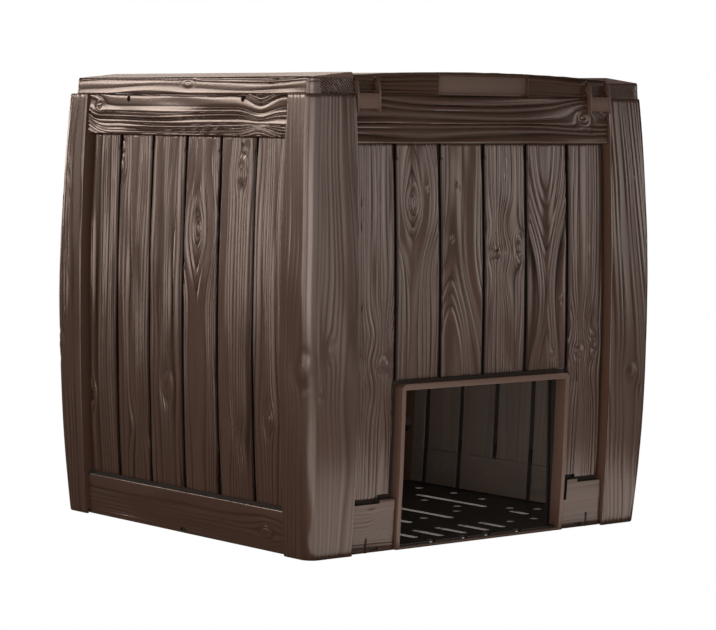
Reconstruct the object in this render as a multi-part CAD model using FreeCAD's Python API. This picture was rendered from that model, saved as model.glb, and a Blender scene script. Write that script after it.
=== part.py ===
"""Cube-shaped garden bin in moulded wood-look plastic, with a hinged lid and a low front hatch.

The bin stands on the ground: origin at the centre of its footprint, +Z up, front (hatch and lid
clips) towards -Y. Its corner posts and walls swell outwards by the same arc between foot and rim.
Every depth is measured inwards from the outer face of the corner posts. Millimetres throughout.
"""
import FreeCAD, Part
import math
import os

# ---- body ---------------------------------------------------------------------------------------
BODY_HEIGHT = 720.0         # corner posts, foot to rim
HALF_X = 357.0              # centre to the outer face of the posts at foot and rim, left and right
HALF_Y = 339.0              # the same, front and rear
SWELL = 14.0                # how far posts and walls swell outwards at mid height
POST_FRONT_WIDTH = 83.0     # width of a post on the front and rear faces
POST_SIDE_WIDTH = 62.0      # width of a post on the side faces
POST_CORNER_RADIUS = 20.0   # rounding of the outer vertical corner
POST_SKIN = 4.5             # moulded thickness of a post
POST_CAP = 4.5              # thickness of the plate that closes a post at the rim

# ---- wall panels --------------------------------------------------------------------------------
RAIL_DEPTH = 7.0            # rails lie this far behind the posts' outer face
PLANK_DEPTH = 15.0          # plank faces
GROOVE_DEPTH = 20.0         # bottom of the grooves between planks
WALL_SKIN = 4.5             # moulded thickness of a wall
WALL_FOOT = 1.0             # walls end this far above the ground
WALL_RIM_DROP = 0.8         # walls end this far below the posts' top
FRONT_TOP_RAIL = 75.0       # heights of the horizontal rails
FRONT_BOTTOM_RAIL = 77.5
SIDE_TOP_RAIL = 66.5
SIDE_BOTTOM_RAIL = 69.0
SIDE_LEDGE_RISE = 5.0       # the ledge on a bottom rail slopes up to the planks by this much
PLANK_FOOT_GAP = 7.0        # dark gap between the front planks and the blocks below them
BLOCK_STEP = 6.0            # the front blocks are this much higher beside the hatch
BLOCK_STEP_WIDTH = 34.5     # width of that step, from the hatch frame
JAMB_SLOT_FOOT = 50.0       # slots between the blocks and the hatch frame start here
JAMB_SLOT_WIDTHS = (3.0, 11.0)      # left and right
PLANK_COUNT = 6
PLANK_OVERHANG = 5.9        # six full planks would reach this far past each seam
GROOVE_WIDTH = 5.0          # between two planks
PLANK_CHAMFER = 4.0         # bevel along the upright edges of a plank
EDGE_GROOVE_WIDTH = 6.0     # between the outermost plank and the post
WALL_END_GAP = 0.3          # between a wall's end and the web of the post
VENT_HEIGHT = 24.0          # through-slots at the ends of the grooves
VENT_WIDTH = 9.0
VENT_RECESS_WIDTH = 16.0    # recess inside the wall, around each vent
VENT_RECESS_DEPTH = 3.0
RAIL_LINING_GAP = 1.0       # between the floor and the inner lining of a bottom rail
RAIL_RIB = 3.0              # thickness of the stiffening ribs behind the rails
TIE_HOLE_RADIUS = 5.0       # two holes high in each side wall
TIE_HOLE_FROM_SEAM = 119.0
TIE_HOLE_DROP = 8.5         # hole centre below the rim

# ---- hooks that join walls to posts -------------------------------------------------------------
FLANGE_WIDTH = 52.0         # inner flange of a post, measured from the seam along the wall
FLANGE_SKIN = 3.5
FLANGE_GAP = 0.3            # between flange and wall, and between hook head and flange
HOOK_FROM_SEAM = 37.0
HOOK_FROM_END = 105.0       # lowest and highest hook from foot and rim; the third is half way
HOOK_STEM_WIDTH = 6.0
HOOK_STEM_HEIGHT = 10.0
HOOK_HEAD_WIDTH = 14.0
HOOK_HEAD_SKIN = 3.0
HOOK_SLIDE = 14.0           # the wall drops this far to lock its hooks in the T-slots
HOOK_CLEARANCE = 0.5

# ---- base ---------------------------------------------------------------------------------------
BASE_PLATE = 4.0            # thickness of the perforated floor plate
BASE_RIB = 3.0              # feet and ribs below the plate
BASE_RIB_WIDTH = 6.0
BASE_EDGE_GAP = 0.5         # between the base and the back of the bottom rails
BASE_RIM_SKIN = 3.5
BASE_RIM_HEIGHT = 21.0      # upstand above the plate, behind the bottom rails
BASE_RIM_END_GAP = 4.0      # the upstand stops this far before the post's web
POST_WEB_FOOT_GAP = 1.0     # between the floor plate and the posts' webs and flanges
BASE_CROSS_RIBS = (-195.0, 0.0, 215.0)      # y of the ribs that run along X
BASE_SLOT_WIDTH = 13.0
BASE_HOLE_RADIUS = 7.5
LOCK_WIDTH = 15.0           # tabs of the base that snap into the bottom rails
LOCK_HEIGHT = 4.0
LOCK_Z = 7.0
LOCK_CLEARANCE = 0.5
LOCK_SET_BACK = 1.5         # the tab's end lies this far behind the rail's face
LOCK_FROM_SEAM = 51.0       # tabs and slots of the front and rear walls
FIN_FROM_LOCK = 16.0        # upright fins beside the front slots
FIN_WIDTH = 3.0
FIN_DEPTH = 2.5
FIN_TOP = 25.0

# ---- hatch --------------------------------------------------------------------------------------
HATCH_FROM_SEAM = 100.0     # clear opening, from the seams between wall and posts
HATCH_SILL = 5.0            # top of the sill
HATCH_TOP = 256.0           # underside of the head
FRAME_SIDE = 7.5            # thickness of the frame's jambs
FRAME_HEAD = 10.0           # thickness of the frame's head
FRAME_FOOT = 1.0            # the frame ends this far above the ground
FRAME_CHAMFER = 6.0
FRAME_DEPTH = 0.0           # front edge of the frame, level with the posts
HEAD_SLIT = 5.0             # slit between the frame's head and the planks above it
DOOR_SKIN = 4.5
DOOR_OVERLAP = 12.0         # door beyond the clear opening, each side
DOOR_TOP_OVERLAP = 8.0      # closed door above the clear opening
DOOR_FLOOR_GAP = 1.0        # closed door above the floor plate
DOOR_BACK_GAP = 2.0         # closed door behind the frame
DOOR_RIB = 6.0              # stiffening ribs on the inner face
DOOR_RIB_SKIN = 3.0
FINGER_SLOT_LENGTH = 90.0
FINGER_SLOT_HEIGHT = 24.0
FINGER_SLOT_RISE = 34.0     # slot centre above the door's lower edge
GUIDE_CLEARANCE = 0.5       # around the door's edges
GUIDE_LIP = 9.0             # how far the guide's lips reach over the door's edge
GUIDE_SKIN = 3.5
GUIDE_FOOT_GAP = 1.0        # guide above the floor plate
GUIDE_SPARE = 10.0          # guide above the top of the raised door
GUIDE_TAB = 14.0            # screw tabs beside the guide
GUIDE_TAB_HEIGHT = 24.0
GUIDE_TAB_SKIN = 3.0
GUIDE_TAB_DROPS = (32.0, 232.0)     # middle of each tab below the guide's top

# ---- lid ----------------------------------------------------------------------------------------
LID_GAP = 1.0               # between the rim and the lid
LID_INSET_X = 3.0           # lid inside the posts' outer face, left and right
LID_FRONT_INSET = 6.0
LID_REAR_INSET = 21.0
LID_BOARD_WIDTH = 80.0
LID_BOARD_EDGE = 25.0       # board height at its outer edge
LID_BOARD_CREST = 33.0      # board height at its inner edge
LID_BOARD_EDGE_ROUND = 3.0
LID_CORNER_RADIUS = 14.0
LID_SKIN = 4.0
LID_PANEL_EDGE = 28.5       # height of the middle panel beside the boards
LID_PANEL_CREST = 36.4      # height of the middle panel at its centre line
LID_PANEL_RECESS = 1.5      # front of the middle panel behind the board ends
LID_JOINT_GAP = 0.3         # between the boards and the middle panel
BOARD_SCREW_FROM_END = 90.0     # outer screws of a board from its ends
LID_RIB_DROP = 14.0         # ribs below the panel
LID_RIB_SKIN = 3.0
LID_GROOVE_WIDTH = 5.0      # two grooves part the middle panel into three boards
LID_GROOVE_DEPTH = 2.6
GRIP_HALF_WIDTH = 95.5
GRIP_HEIGHT = 27.0
GRIP_FOOT = 3.5             # grip plate above the lid's lower edge
GRIP_SKIN = 3.0
GRIP_RECESS = 4.0
GRIP_SIDE_GAP = 0.6

# ---- lid clips ----------------------------------------------------------------------------------
CLIP_FROM_SEAM = 24.0       # clip centre from the seam between wall and post
CLIP_WIDTH = 46.0
CLIP_RIB = 2.6
CLIP_FRONT = 6.5            # clip front, ahead of the posts' outer face at the rim
CLIP_RIB_DEPTH = 9.5
CLIP_RIB_TOP = 5.5          # top of the ribs above the pin
CLIP_RIB_LEAN = 3.0         # the ribs' front edge leans back by this much at the top
CLIP_BELOW_RIM = 26.0       # lower end of the clip
CLIP_SHOULDER = 2.0         # ribs start to slope back this far above the rim
CLIP_PLATE_SKIN = 2.5
CLIP_PLATE_SET_BACK = 1.5   # plate behind the ribs' front edge
CLIP_PLATE_TOP = 2.0        # plate top above the rim
CLIP_PLATE_RAISED = 4.0     # plate foot above the ribs' lower end
CLIP_PIN_ABOVE_RIM = 16.0
CLIP_PIN_BEHIND_FRONT = 5.5  # pin axis behind the front face of the lid's middle panel
CLIP_EYE_RADIUS = 5.0
CLIP_PIN_RADIUS = 2.0
CLIP_SLOT_GAP = 0.7         # beside a rib in the lid
CLIP_SLOT_REACH = 10.0      # height of the slot above and below the pin
PIN_RUNNING_GAP = 0.06
SEAT_GAP = 0.1              # between a curved wall and what is screwed to it
CATCH_HALF_WIDTH = 15.0
CATCH_DEPTH = 2.4           # catch stands this far out of the front rail
CATCH_DROP = 15.0           # catch top below the rim
CATCH_HEIGHT = 4.0
CLIP_HOOK_GAP = 0.6         # between a clip's hook and its catch

# ---- hinges -------------------------------------------------------------------------------------
HINGE_FROM_SEAM = 84.0
HINGE_ABOVE_RIM = 13.0
HINGE_BEHIND_FACE = 5.0     # hinge axis inside the posts' rear face
HINGE_PIN_RADIUS = 3.0
HINGE_EYE_RADIUS = 7.0
HINGE_PIN_HEAD_RADIUS = 5.0
HINGE_PIN_HEAD = 2.5
HINGE_PIN_TAIL = 1.0        # the pin stands this far out of the far ear
HINGE_ARM_WIDTH = 30.0
HINGE_EAR = 5.0
HINGE_SIDE_GAP = 0.4
HINGE_KNUCKLE_DROP = 0.5    # the arm's knuckle is this much slimmer than the ears
BRACKET_SKIN = 4.0
BRACKET_HALF_WIDTH = 32.0
BRACKET_HEIGHT = 34.0
BRACKET_SCREW_EDGE = 2.0    # between a screw's head and the bracket's edge
ARM_PLATE_HALF_WIDTH = 26.0
ARM_PLATE_SKIN = 3.5

# ---- screws -------------------------------------------------------------------------------------
SCREW_RADIUS = 2.0
SCREW_HEAD_RADIUS = 4.0
SCREW_HEAD = 2.2
SCREW_LENGTH = 8.0

# ---- derived places -----------------------------------------------------------------------------
SEAM_X = HALF_X - POST_FRONT_WIDTH          # seam between post and wall, front and rear
SEAM_Y = HALF_Y - POST_SIDE_WIDTH           # the same on the sides
SWELL_RADIUS = (BODY_HEIGHT ** 2 / 4 + SWELL ** 2) / (2 * SWELL)
FRONT_PLANK_PITCH = 2 * (SEAM_X + PLANK_OVERHANG) / PLANK_COUNT
SIDE_PLANK_PITCH = 2 * (SEAM_Y + PLANK_OVERHANG) / PLANK_COUNT
TIE_HOLE_OFFSET = SEAM_Y - TIE_HOLE_FROM_SEAM
HOOK_HEIGHTS = (HOOK_FROM_END, BODY_HEIGHT / 2, BODY_HEIGHT - HOOK_FROM_END)
FRONT_LOCK_OFFSET = SEAM_X - LOCK_FROM_SEAM
FIN_OFFSET = FRONT_LOCK_OFFSET + FIN_FROM_LOCK
WALL_TOP = BODY_HEIGHT - WALL_RIM_DROP
WALL_BACK = GROOVE_DEPTH + WALL_SKIN        # inner face of a wall behind its planks
RAIL_BACK = RAIL_DEPTH + WALL_SKIN          # inner face of a rail
FLANGE_FRONT = WALL_BACK + FLANGE_GAP
FLANGE_BACK = FLANGE_FRONT + FLANGE_SKIN
FLOOR_TOP = BASE_RIB + BASE_PLATE
WEB_FOOT = FLOOR_TOP + POST_WEB_FOOT_GAP
BASE_DEPTH = RAIL_BACK + BASE_EDGE_GAP
HATCH_HALF_WIDTH = SEAM_X - HATCH_FROM_SEAM
FRAME_HALF_WIDTH = HATCH_HALF_WIDTH + FRAME_SIDE
BLOCK_STEP_X = FRAME_HALF_WIDTH + BLOCK_STEP_WIDTH
FRAME_TOP = HATCH_TOP + FRAME_HEAD
DOOR_FRONT_Y = -(HALF_Y - WALL_BACK - DOOR_BACK_GAP)
DOOR_BACK_Y = DOOR_FRONT_Y + DOOR_SKIN
DOOR_HALF_WIDTH = HATCH_HALF_WIDTH + DOOR_OVERLAP
DOOR_FOOT = FRAME_TOP                       # the door rests raised
DOOR_HEIGHT = HATCH_TOP + DOOR_TOP_OVERLAP - (FLOOR_TOP + DOOR_FLOOR_GAP)
GUIDE_OUTER = DOOR_HALF_WIDTH + GUIDE_CLEARANCE + GUIDE_SKIN
GUIDE_INNER = DOOR_HALF_WIDTH - GUIDE_LIP
GUIDE_FOOT = FLOOR_TOP + GUIDE_FOOT_GAP
GUIDE_TOP = DOOR_FOOT + DOOR_HEIGHT + GUIDE_SPARE
GUIDE_BACK_Y = DOOR_BACK_Y + GUIDE_CLEARANCE + GUIDE_SKIN
LID_FOOT = BODY_HEIGHT + LID_GAP
LID_HALF_X = HALF_X - LID_INSET_X
LID_FRONT_Y = -(HALF_Y - LID_FRONT_INSET)
LID_REAR_Y = HALF_Y - LID_REAR_INSET
BOARD_INNER_X = LID_HALF_X - LID_BOARD_WIDTH
PANEL_HALF_X = BOARD_INNER_X - LID_JOINT_GAP
PANEL_FRONT_Y = LID_FRONT_Y + LID_PANEL_RECESS
LID_GROOVE_OFFSET = PANEL_HALF_X / 3
CLIP_OFFSET = SEAM_X - CLIP_FROM_SEAM
CLIP_PIN_Y = PANEL_FRONT_Y + CLIP_PIN_BEHIND_FRONT
CLIP_PIN_Z = BODY_HEIGHT + CLIP_PIN_ABOVE_RIM
CLIP_FRONT_Y = -(HALF_Y + CLIP_FRONT)
CLIP_BACK_Y = CLIP_FRONT_Y + CLIP_RIB_DEPTH
CLIP_FOOT = BODY_HEIGHT - CLIP_BELOW_RIM
CATCH_TOP = BODY_HEIGHT - CATCH_DROP
HINGE_OFFSET = SEAM_X - HINGE_FROM_SEAM
HINGE_Y = HALF_Y - HINGE_BEHIND_FACE
HINGE_Z = BODY_HEIGHT + HINGE_ABOVE_RIM

# Slots of the floor plate: x of the slot's middle, and the y of its two ends.
BASE_SLOTS = (
    (0.0, -300.0, -227.0), (50.0, -300.0, -227.0), (-50.0, -300.0, -227.0),
    (96.0, -290.0, -227.0), (-96.0, -290.0, -227.0),
    (92.0, -164.0, 20.0), (-92.0, -164.0, 20.0), (0.0, -164.0, -14.0),
    (226.0, -208.0, -163.0), (-226.0, -208.0, -163.0),
    (226.0, -101.0, 85.0), (-226.0, -101.0, 85.0),
    (226.0, 145.0, 190.0), (-226.0, 145.0, 190.0),
    (92.0, 80.0, 200.0), (-92.0, 80.0, 200.0), (0.0, 80.0, 200.0),
    (0.0, 235.0, 295.0), (96.0, 235.0, 295.0), (-96.0, 235.0, 295.0),
)
# Round holes of the floor plate, repeated on both sides of the centre line.
BASE_HOLES = (
    (51.0, -138.0), (94.0, -322.0), (25.0, -322.0), (293.0, 59.0), (190.0, 21.0), (190.0, -66.0),
    (284.0, -27.0), (250.0, -137.0), (281.0, -174.0), (200.0, -251.0), (146.0, -251.0),
    (150.0, -110.0), (146.0, 110.0), (190.0, 110.0), (284.0, 145.0), (200.0, 250.0), (146.0, 250.0),
    (50.0, 120.0), (50.0, -60.0), (46.0, 265.0), (280.0, 240.0),
)


def vec(x, y, z):
    return FreeCAD.Vector(x, y, z)


def box(x_low, x_high, y_low, y_high, z_low, z_high):
    return Part.makeBox(x_high - x_low, y_high - y_low, z_high - z_low, vec(x_low, y_low, z_low))


def rod(radius, start, end):
    """Straight cylinder between two points."""
    run = end - start
    return Part.makeCylinder(radius, run.Length, start, run)


def prism(points, extrusion):
    """Flat polygon extruded along a vector."""
    wire = Part.makePolygon(points + [points[0]])
    return Part.Face(wire).extrude(extrusion)


def joined(shapes):
    """One solid from touching shapes, without the seams between them."""
    return shapes[0].fuse(shapes[1:]).removeSplitter()


def without(shape, tools):
    return shape.cut(tools) if tools else shape


def mirrored_x(shape):
    return shape.mirror(vec(0, 0, 0), vec(1, 0, 0))


def mirrored_y(shape):
    return shape.mirror(vec(0, 0, 0), vec(0, 1, 0))


def turned(shape, degrees):
    """Copy of a shape turned about the vertical axis through the origin."""
    copy = shape.copy()
    copy.rotate(vec(0, 0, 0), vec(0, 0, 1), degrees)
    return copy


# ---- swelling surfaces --------------------------------------------------------------------------
def swell_at(z):
    """Outward swell of posts and walls at a height."""
    rise = z - BODY_HEIGHT / 2
    return math.sqrt(SWELL_RADIUS ** 2 - rise ** 2) - (SWELL_RADIUS - SWELL)


def face_y(half, depth, z):
    """y of the front-facing surface at a depth behind the posts' face."""
    return -(half + swell_at(z) - depth)


def swell_edge(half, depth, z_low, z_high, u):
    """Arc of the swelling surface in the plane x = u."""
    heights = (z_low, (z_low + z_high) / 2, z_high)
    points = [vec(u, face_y(half, depth, z), z) for z in heights]
    return Part.Arc(*points).toShape()


def slab(half, depth_out, depth_in, z_low, z_high, u_low, u_high, rise=0.0):
    """Swelling slab of a front-facing wall, between two depths, two heights and two x."""
    outer = swell_edge(half, depth_out, z_low, z_high, u_low)
    inner = swell_edge(half, depth_in, z_low, z_high + rise, u_low)
    top = Part.makeLine(outer.Vertexes[-1].Point, inner.Vertexes[-1].Point)
    foot = Part.makeLine(inner.Vertexes[0].Point, outer.Vertexes[0].Point)
    face = Part.Face(Part.Wire(Part.__sortEdges__([outer, top, inner, foot])))
    return face.extrude(vec(u_high - u_low, 0, 0))


def flat_backed_slab(half, depth_out, back_y, z_low, z_high, u_low, u_high):
    """Like slab, with a flat vertical back in the plane y = back_y."""
    outer = swell_edge(half, depth_out, z_low, z_high, u_low)
    low, high = vec(u_low, back_y, z_low), vec(u_low, back_y, z_high)
    top = Part.makeLine(outer.Vertexes[-1].Point, high)
    back = Part.makeLine(high, low)
    foot = Part.makeLine(low, outer.Vertexes[0].Point)
    face = Part.Face(Part.Wire(Part.__sortEdges__([outer, top, back, foot])))
    return face.extrude(vec(u_high - u_low, 0, 0))


def barrel(inset):
    """Whole swelling body at an inset behind the posts' face, with rounded vertical corners."""
    reach_x, reach_y = HALF_X + 2 * SWELL, HALF_Y + 2 * SWELL
    front = flat_backed_slab(HALF_Y, inset, 0.0, 0.0, BODY_HEIGHT, -reach_x, reach_x)
    side = flat_backed_slab(HALF_X, inset, 0.0, 0.0, BODY_HEIGHT, -reach_y, reach_y)
    across = front.fuse(mirrored_y(front)).removeSplitter()
    along = turned(side, 90).fuse(turned(side, -90)).removeSplitter()
    body = across.common(along)
    corners = [edge for edge in body.Edges if edge.BoundBox.ZLength > BODY_HEIGHT / 2]
    return body.makeFillet(POST_CORNER_RADIUS - inset, corners)


# ---- corner posts -------------------------------------------------------------------------------
def post_flank(half, seam, sign):
    """Web and inner flange of a front-facing post side whose wall lies towards sign * x."""
    web_start, web_end = sorted((-sign * seam, -sign * (seam + POST_SKIN)))
    flange_end = -sign * (seam - FLANGE_WIDTH)
    flange_low, flange_high = sorted((web_start if sign < 0 else web_end, flange_end))
    web = slab(half, 0.0, FLANGE_BACK, WEB_FOOT, BODY_HEIGHT, web_start, web_end)
    flange = slab(half, FLANGE_FRONT, FLANGE_BACK, WEB_FOOT, WALL_TOP - FRONT_TOP_RAIL / 2,
                  flange_low, flange_high)
    slots = []
    middle = -sign * (seam - HOOK_FROM_SEAM)
    stem = HOOK_STEM_WIDTH / 2 + HOOK_CLEARANCE
    head = HOOK_HEAD_WIDTH / 2 + HOOK_CLEARANCE
    half_height = HOOK_STEM_HEIGHT / 2 + HOOK_CLEARANCE
    for z in HOOK_HEIGHTS:
        y_low, y_high = face_y(half, -RAIL_DEPTH, z), face_y(half, FLANGE_BACK + RAIL_DEPTH, z)
        slots.append(box(middle - stem, middle + stem, y_low, y_high,
                         z - half_height, z + HOOK_SLIDE))
        slots.append(box(middle - head, middle + head, y_low, y_high,
                         z + HOOK_SLIDE - half_height, z + HOOK_SLIDE + half_height))
    return [web, flange.cut(slots)]


def corner_post(outer, inner):
    """Front left post: hollow angle with a web and an inner flange along each wall."""
    reach_x, reach_y = HALF_X + 2 * SWELL, HALF_Y + 2 * SWELL
    corner = box(-reach_x, -SEAM_X, -reach_y, -SEAM_Y, 0.0, BODY_HEIGHT)
    cap = box(-reach_x, -SEAM_X, -reach_y, -SEAM_Y, BODY_HEIGHT - POST_CAP, BODY_HEIGHT)
    shell = outer.cut(inner).common(corner)
    front_flank = post_flank(HALF_Y, SEAM_X, 1)
    side_flank = [turned(piece, -90) for piece in post_flank(HALF_X, SEAM_Y, -1)]
    return joined([shell, outer.common(cap)] + front_flank + side_flank)


# ---- wall panels --------------------------------------------------------------------------------
def plank_spans(half_width, pitch):
    """x ranges of the planks of a wall, from one post to the other."""
    joints = [(k - PLANK_COUNT / 2) * pitch for k in range(1, PLANK_COUNT)]
    lows = [EDGE_GROOVE_WIDTH - half_width] + [x + GROOVE_WIDTH / 2 for x in joints]
    highs = [x - GROOVE_WIDTH / 2 for x in joints] + [half_width - EDGE_GROOVE_WIDTH]
    return list(zip(lows, highs)), joints


def plank(half, z_low, z_high, low, high):
    """Plank with its two upright front edges bevelled."""
    blank = slab(half, PLANK_DEPTH, GROOVE_DEPTH, z_low, z_high, low, high)
    middle_depth = (PLANK_DEPTH + GROOVE_DEPTH) / 2
    upright = []
    for edge in blank.Edges:
        end = edge.Vertexes[0].Point
        if edge.BoundBox.ZLength > PLANK_CHAMFER and end.y < face_y(half, middle_depth, end.z):
            upright.append(edge)
    return blank.makeChamfer(PLANK_CHAMFER, upright)


def wall_hooks(half, half_width):
    """T-shaped hooks inside a wall that seat in the posts' flanges."""
    hooks = []
    for sign in (-1, 1):
        middle = sign * (half_width + WALL_END_GAP - HOOK_FROM_SEAM)
        for z in HOOK_HEIGHTS:
            low, high = z - HOOK_STEM_HEIGHT / 2, z + HOOK_STEM_HEIGHT / 2
            head_front = FLANGE_BACK + FLANGE_GAP
            hooks.append(slab(half, GROOVE_DEPTH, head_front + HOOK_HEAD_SKIN, low, high,
                              middle - HOOK_STEM_WIDTH / 2, middle + HOOK_STEM_WIDTH / 2))
            hooks.append(slab(half, head_front, head_front + HOOK_HEAD_SKIN, low, high,
                              middle - HOOK_HEAD_WIDTH / 2, middle + HOOK_HEAD_WIDTH / 2))
    return hooks


def lock_slots(half, offsets):
    """Slots of a bottom rail for the tabs of the base."""
    reach = LOCK_WIDTH / 2 + LOCK_CLEARANCE
    rise = LOCK_HEIGHT / 2 + LOCK_CLEARANCE
    depth = RAIL_BACK + LOCK_CLEARANCE
    return [slab(half, 0.0, depth, LOCK_Z - rise, LOCK_Z + rise, u - reach, u + reach) for u in offsets]


def wall_blank(half, seam, pitch, top_rail, bottom_rail, ledge_rise):
    """Front-facing wall: skin, two rails with webs and ribs, planks and hooks."""
    half_width = seam - WALL_END_GAP
    rail_foot = WALL_TOP - top_rail
    rail_head = WALL_FOOT + bottom_rail
    spans, joints = plank_spans(half_width, pitch)
    parts = [
        slab(half, GROOVE_DEPTH, WALL_BACK, rail_head - WALL_SKIN, rail_foot + WALL_SKIN,
             -half_width, half_width),
        slab(half, RAIL_DEPTH, RAIL_BACK, rail_foot, WALL_TOP, -half_width, half_width),
        slab(half, RAIL_DEPTH, WALL_BACK, rail_foot, rail_foot + WALL_SKIN, -half_width, half_width),
        slab(half, RAIL_DEPTH, WALL_BACK, WALL_TOP - WALL_SKIN, WALL_TOP, -half_width, half_width),
        slab(half, RAIL_DEPTH, RAIL_BACK, WALL_FOOT, rail_head, -half_width, half_width),
        slab(half, RAIL_DEPTH, WALL_BACK, rail_head - WALL_SKIN, rail_head, -half_width, half_width),
        slab(half, RAIL_DEPTH, PLANK_DEPTH, rail_head - WALL_SKIN, rail_head, -half_width, half_width,
             ledge_rise),
    ]
    for low, high in spans:
        parts.append(plank(half, rail_head, rail_foot, low, high))
    for u in joints:
        parts.append(slab(half, RAIL_DEPTH, WALL_BACK, rail_foot, WALL_TOP,
                          u - RAIL_RIB / 2, u + RAIL_RIB / 2))
    for low in (-half_width, half_width - WALL_SKIN):
        parts.append(slab(half, RAIL_DEPTH, WALL_BACK, rail_foot, WALL_TOP, low, low + WALL_SKIN))
    return joined(parts + wall_hooks(half, half_width))


def vent_slots(half, joints, heights):
    """Through-slots in the grooves, each from a height upwards, with a recess inside the wall."""
    cuts = []
    behind = WALL_BACK + GROOVE_WIDTH
    for u in joints:
        for z in heights:
            cuts.append(slab(half, PLANK_DEPTH, behind, z, z + VENT_HEIGHT,
                             u - VENT_WIDTH / 2, u + VENT_WIDTH / 2))
            cuts.append(slab(half, WALL_BACK - VENT_RECESS_DEPTH, behind, z, z + VENT_HEIGHT,
                             u - VENT_RECESS_WIDTH / 2, u + VENT_RECESS_WIDTH / 2))
    return cuts


def side_wall(half, seam, pitch, lock_offsets):
    """Wall with vents at both ends of its grooves and a full bottom rail, lined inside."""
    blank = wall_blank(half, seam, pitch, SIDE_TOP_RAIL, SIDE_BOTTOM_RAIL, SIDE_LEDGE_RISE)
    lining = slab(half, GROOVE_DEPTH, WALL_BACK, FLOOR_TOP + RAIL_LINING_GAP, WALL_FOOT + SIDE_BOTTOM_RAIL,
                  WALL_END_GAP - seam, seam - WALL_END_GAP)
    wall = joined([blank, lining])
    joints = plank_spans(seam, pitch)[1]
    upper = WALL_TOP - SIDE_TOP_RAIL - VENT_HEIGHT
    lower = WALL_FOOT + SIDE_BOTTOM_RAIL + SIDE_LEDGE_RISE
    return without(wall, vent_slots(half, joints, (lower, upper)) + lock_slots(half, lock_offsets))


def tie_holes():
    """Two round holes high in a side wall, seen as a front-facing wall."""
    z = BODY_HEIGHT - TIE_HOLE_DROP
    return [rod(TIE_HOLE_RADIUS, vec(u, face_y(HALF_X, 0.0, z), z),
                vec(u, face_y(HALF_X, WALL_BACK, z), z))
            for u in (-TIE_HOLE_OFFSET, TIE_HOLE_OFFSET)]


def frame_outline(half_width, top, y_low, y_high):
    """Outline of the hatch frame, with its two upper corners cut off."""
    points = [(-half_width, 0.0), (half_width, 0.0), (half_width, top - FRAME_CHAMFER),
              (half_width - FRAME_CHAMFER, top), (FRAME_CHAMFER - half_width, top),
              (-half_width, top - FRAME_CHAMFER)]
    return prism([vec(x, y_low, z) for x, z in points], vec(0, y_high - y_low, 0))


def block_details():
    """Steps on top of the front blocks beside the hatch, and fins beside their slots."""
    head = WALL_FOOT + FRONT_BOTTOM_RAIL
    parts = []
    for sign in (-1, 1):
        step = sorted((sign * FRAME_HALF_WIDTH, sign * BLOCK_STEP_X))
        fin = sorted((sign * FIN_OFFSET, sign * (FIN_OFFSET + FIN_WIDTH)))
        parts.append(slab(HALF_Y, RAIL_DEPTH, GROOVE_DEPTH, head, head + BLOCK_STEP, *step))
        parts.append(slab(HALF_Y, RAIL_DEPTH - FIN_DEPTH, RAIL_DEPTH, WALL_FOOT, FIN_TOP, *fin))
    return parts


def block_gaps():
    """Gaps between the front blocks and the planks above, and beside the hatch frame."""
    head = WALL_FOOT + FRONT_BOTTOM_RAIL
    cuts = []
    for sign in (-1, 1):
        outer = sorted((sign * BLOCK_STEP_X, sign * SEAM_X))
        inner = sorted((sign * FRAME_HALF_WIDTH, sign * BLOCK_STEP_X))
        strip = sorted((sign * FRAME_HALF_WIDTH, sign * (2 * FRONT_PLANK_PITCH + GROOVE_WIDTH / 2)))
        cuts.append(slab(HALF_Y, 0.0, GROOVE_DEPTH, head, head + PLANK_FOOT_GAP, *outer))
        cuts.append(slab(HALF_Y, 0.0, GROOVE_DEPTH, head, head + BLOCK_STEP + PLANK_FOOT_GAP, *inner))
        cuts.append(slab(HALF_Y, 0.0, GROOVE_DEPTH, head, FRAME_TOP + HEAD_SLIT, *strip))
    return cuts


def jamb_slots():
    """Upright slots between the front blocks and the hatch frame."""
    head = WALL_FOOT + FRONT_BOTTOM_RAIL + BLOCK_STEP
    left, right = JAMB_SLOT_WIDTHS
    spans = ((-FRAME_HALF_WIDTH - left, -FRAME_HALF_WIDTH), (FRAME_HALF_WIDTH, FRAME_HALF_WIDTH + right))
    return [slab(HALF_Y, 0.0, GROOVE_DEPTH, JAMB_SLOT_FOOT, head, *span) for span in spans]


def front_wall():
    """Front wall: cut out for the hatch frame, with catches for the lid clips."""
    wall = wall_blank(HALF_Y, SEAM_X, FRONT_PLANK_PITCH, FRONT_TOP_RAIL, FRONT_BOTTOM_RAIL, 0.0)
    joints = plank_spans(SEAM_X, FRONT_PLANK_PITCH)[1]
    upper = WALL_TOP - FRONT_TOP_RAIL - VENT_HEIGHT
    wall = joined([wall.cut(block_gaps())] + block_details())
    cuts = [frame_outline(FRAME_HALF_WIDTH, FRAME_TOP, -(HALF_Y + SWELL), -SEAM_Y)]
    cuts.append(slab(HALF_Y, 0.0, GROOVE_DEPTH, FRAME_TOP - FRAME_CHAMFER, FRAME_TOP + HEAD_SLIT,
                     -FRAME_HALF_WIDTH, FRAME_HALF_WIDTH))
    cuts += jamb_slots() + vent_slots(HALF_Y, joints, (upper,))
    cuts += lock_slots(HALF_Y, (-FRONT_LOCK_OFFSET, FRONT_LOCK_OFFSET))
    catches = [slab(HALF_Y, RAIL_DEPTH - CATCH_DEPTH, RAIL_DEPTH, CATCH_TOP - CATCH_HEIGHT, CATCH_TOP,
                    x - CATCH_HALF_WIDTH, x + CATCH_HALF_WIDTH) for x in (-CLIP_OFFSET, CLIP_OFFSET)]
    return joined([wall.cut(cuts)] + catches)


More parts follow.
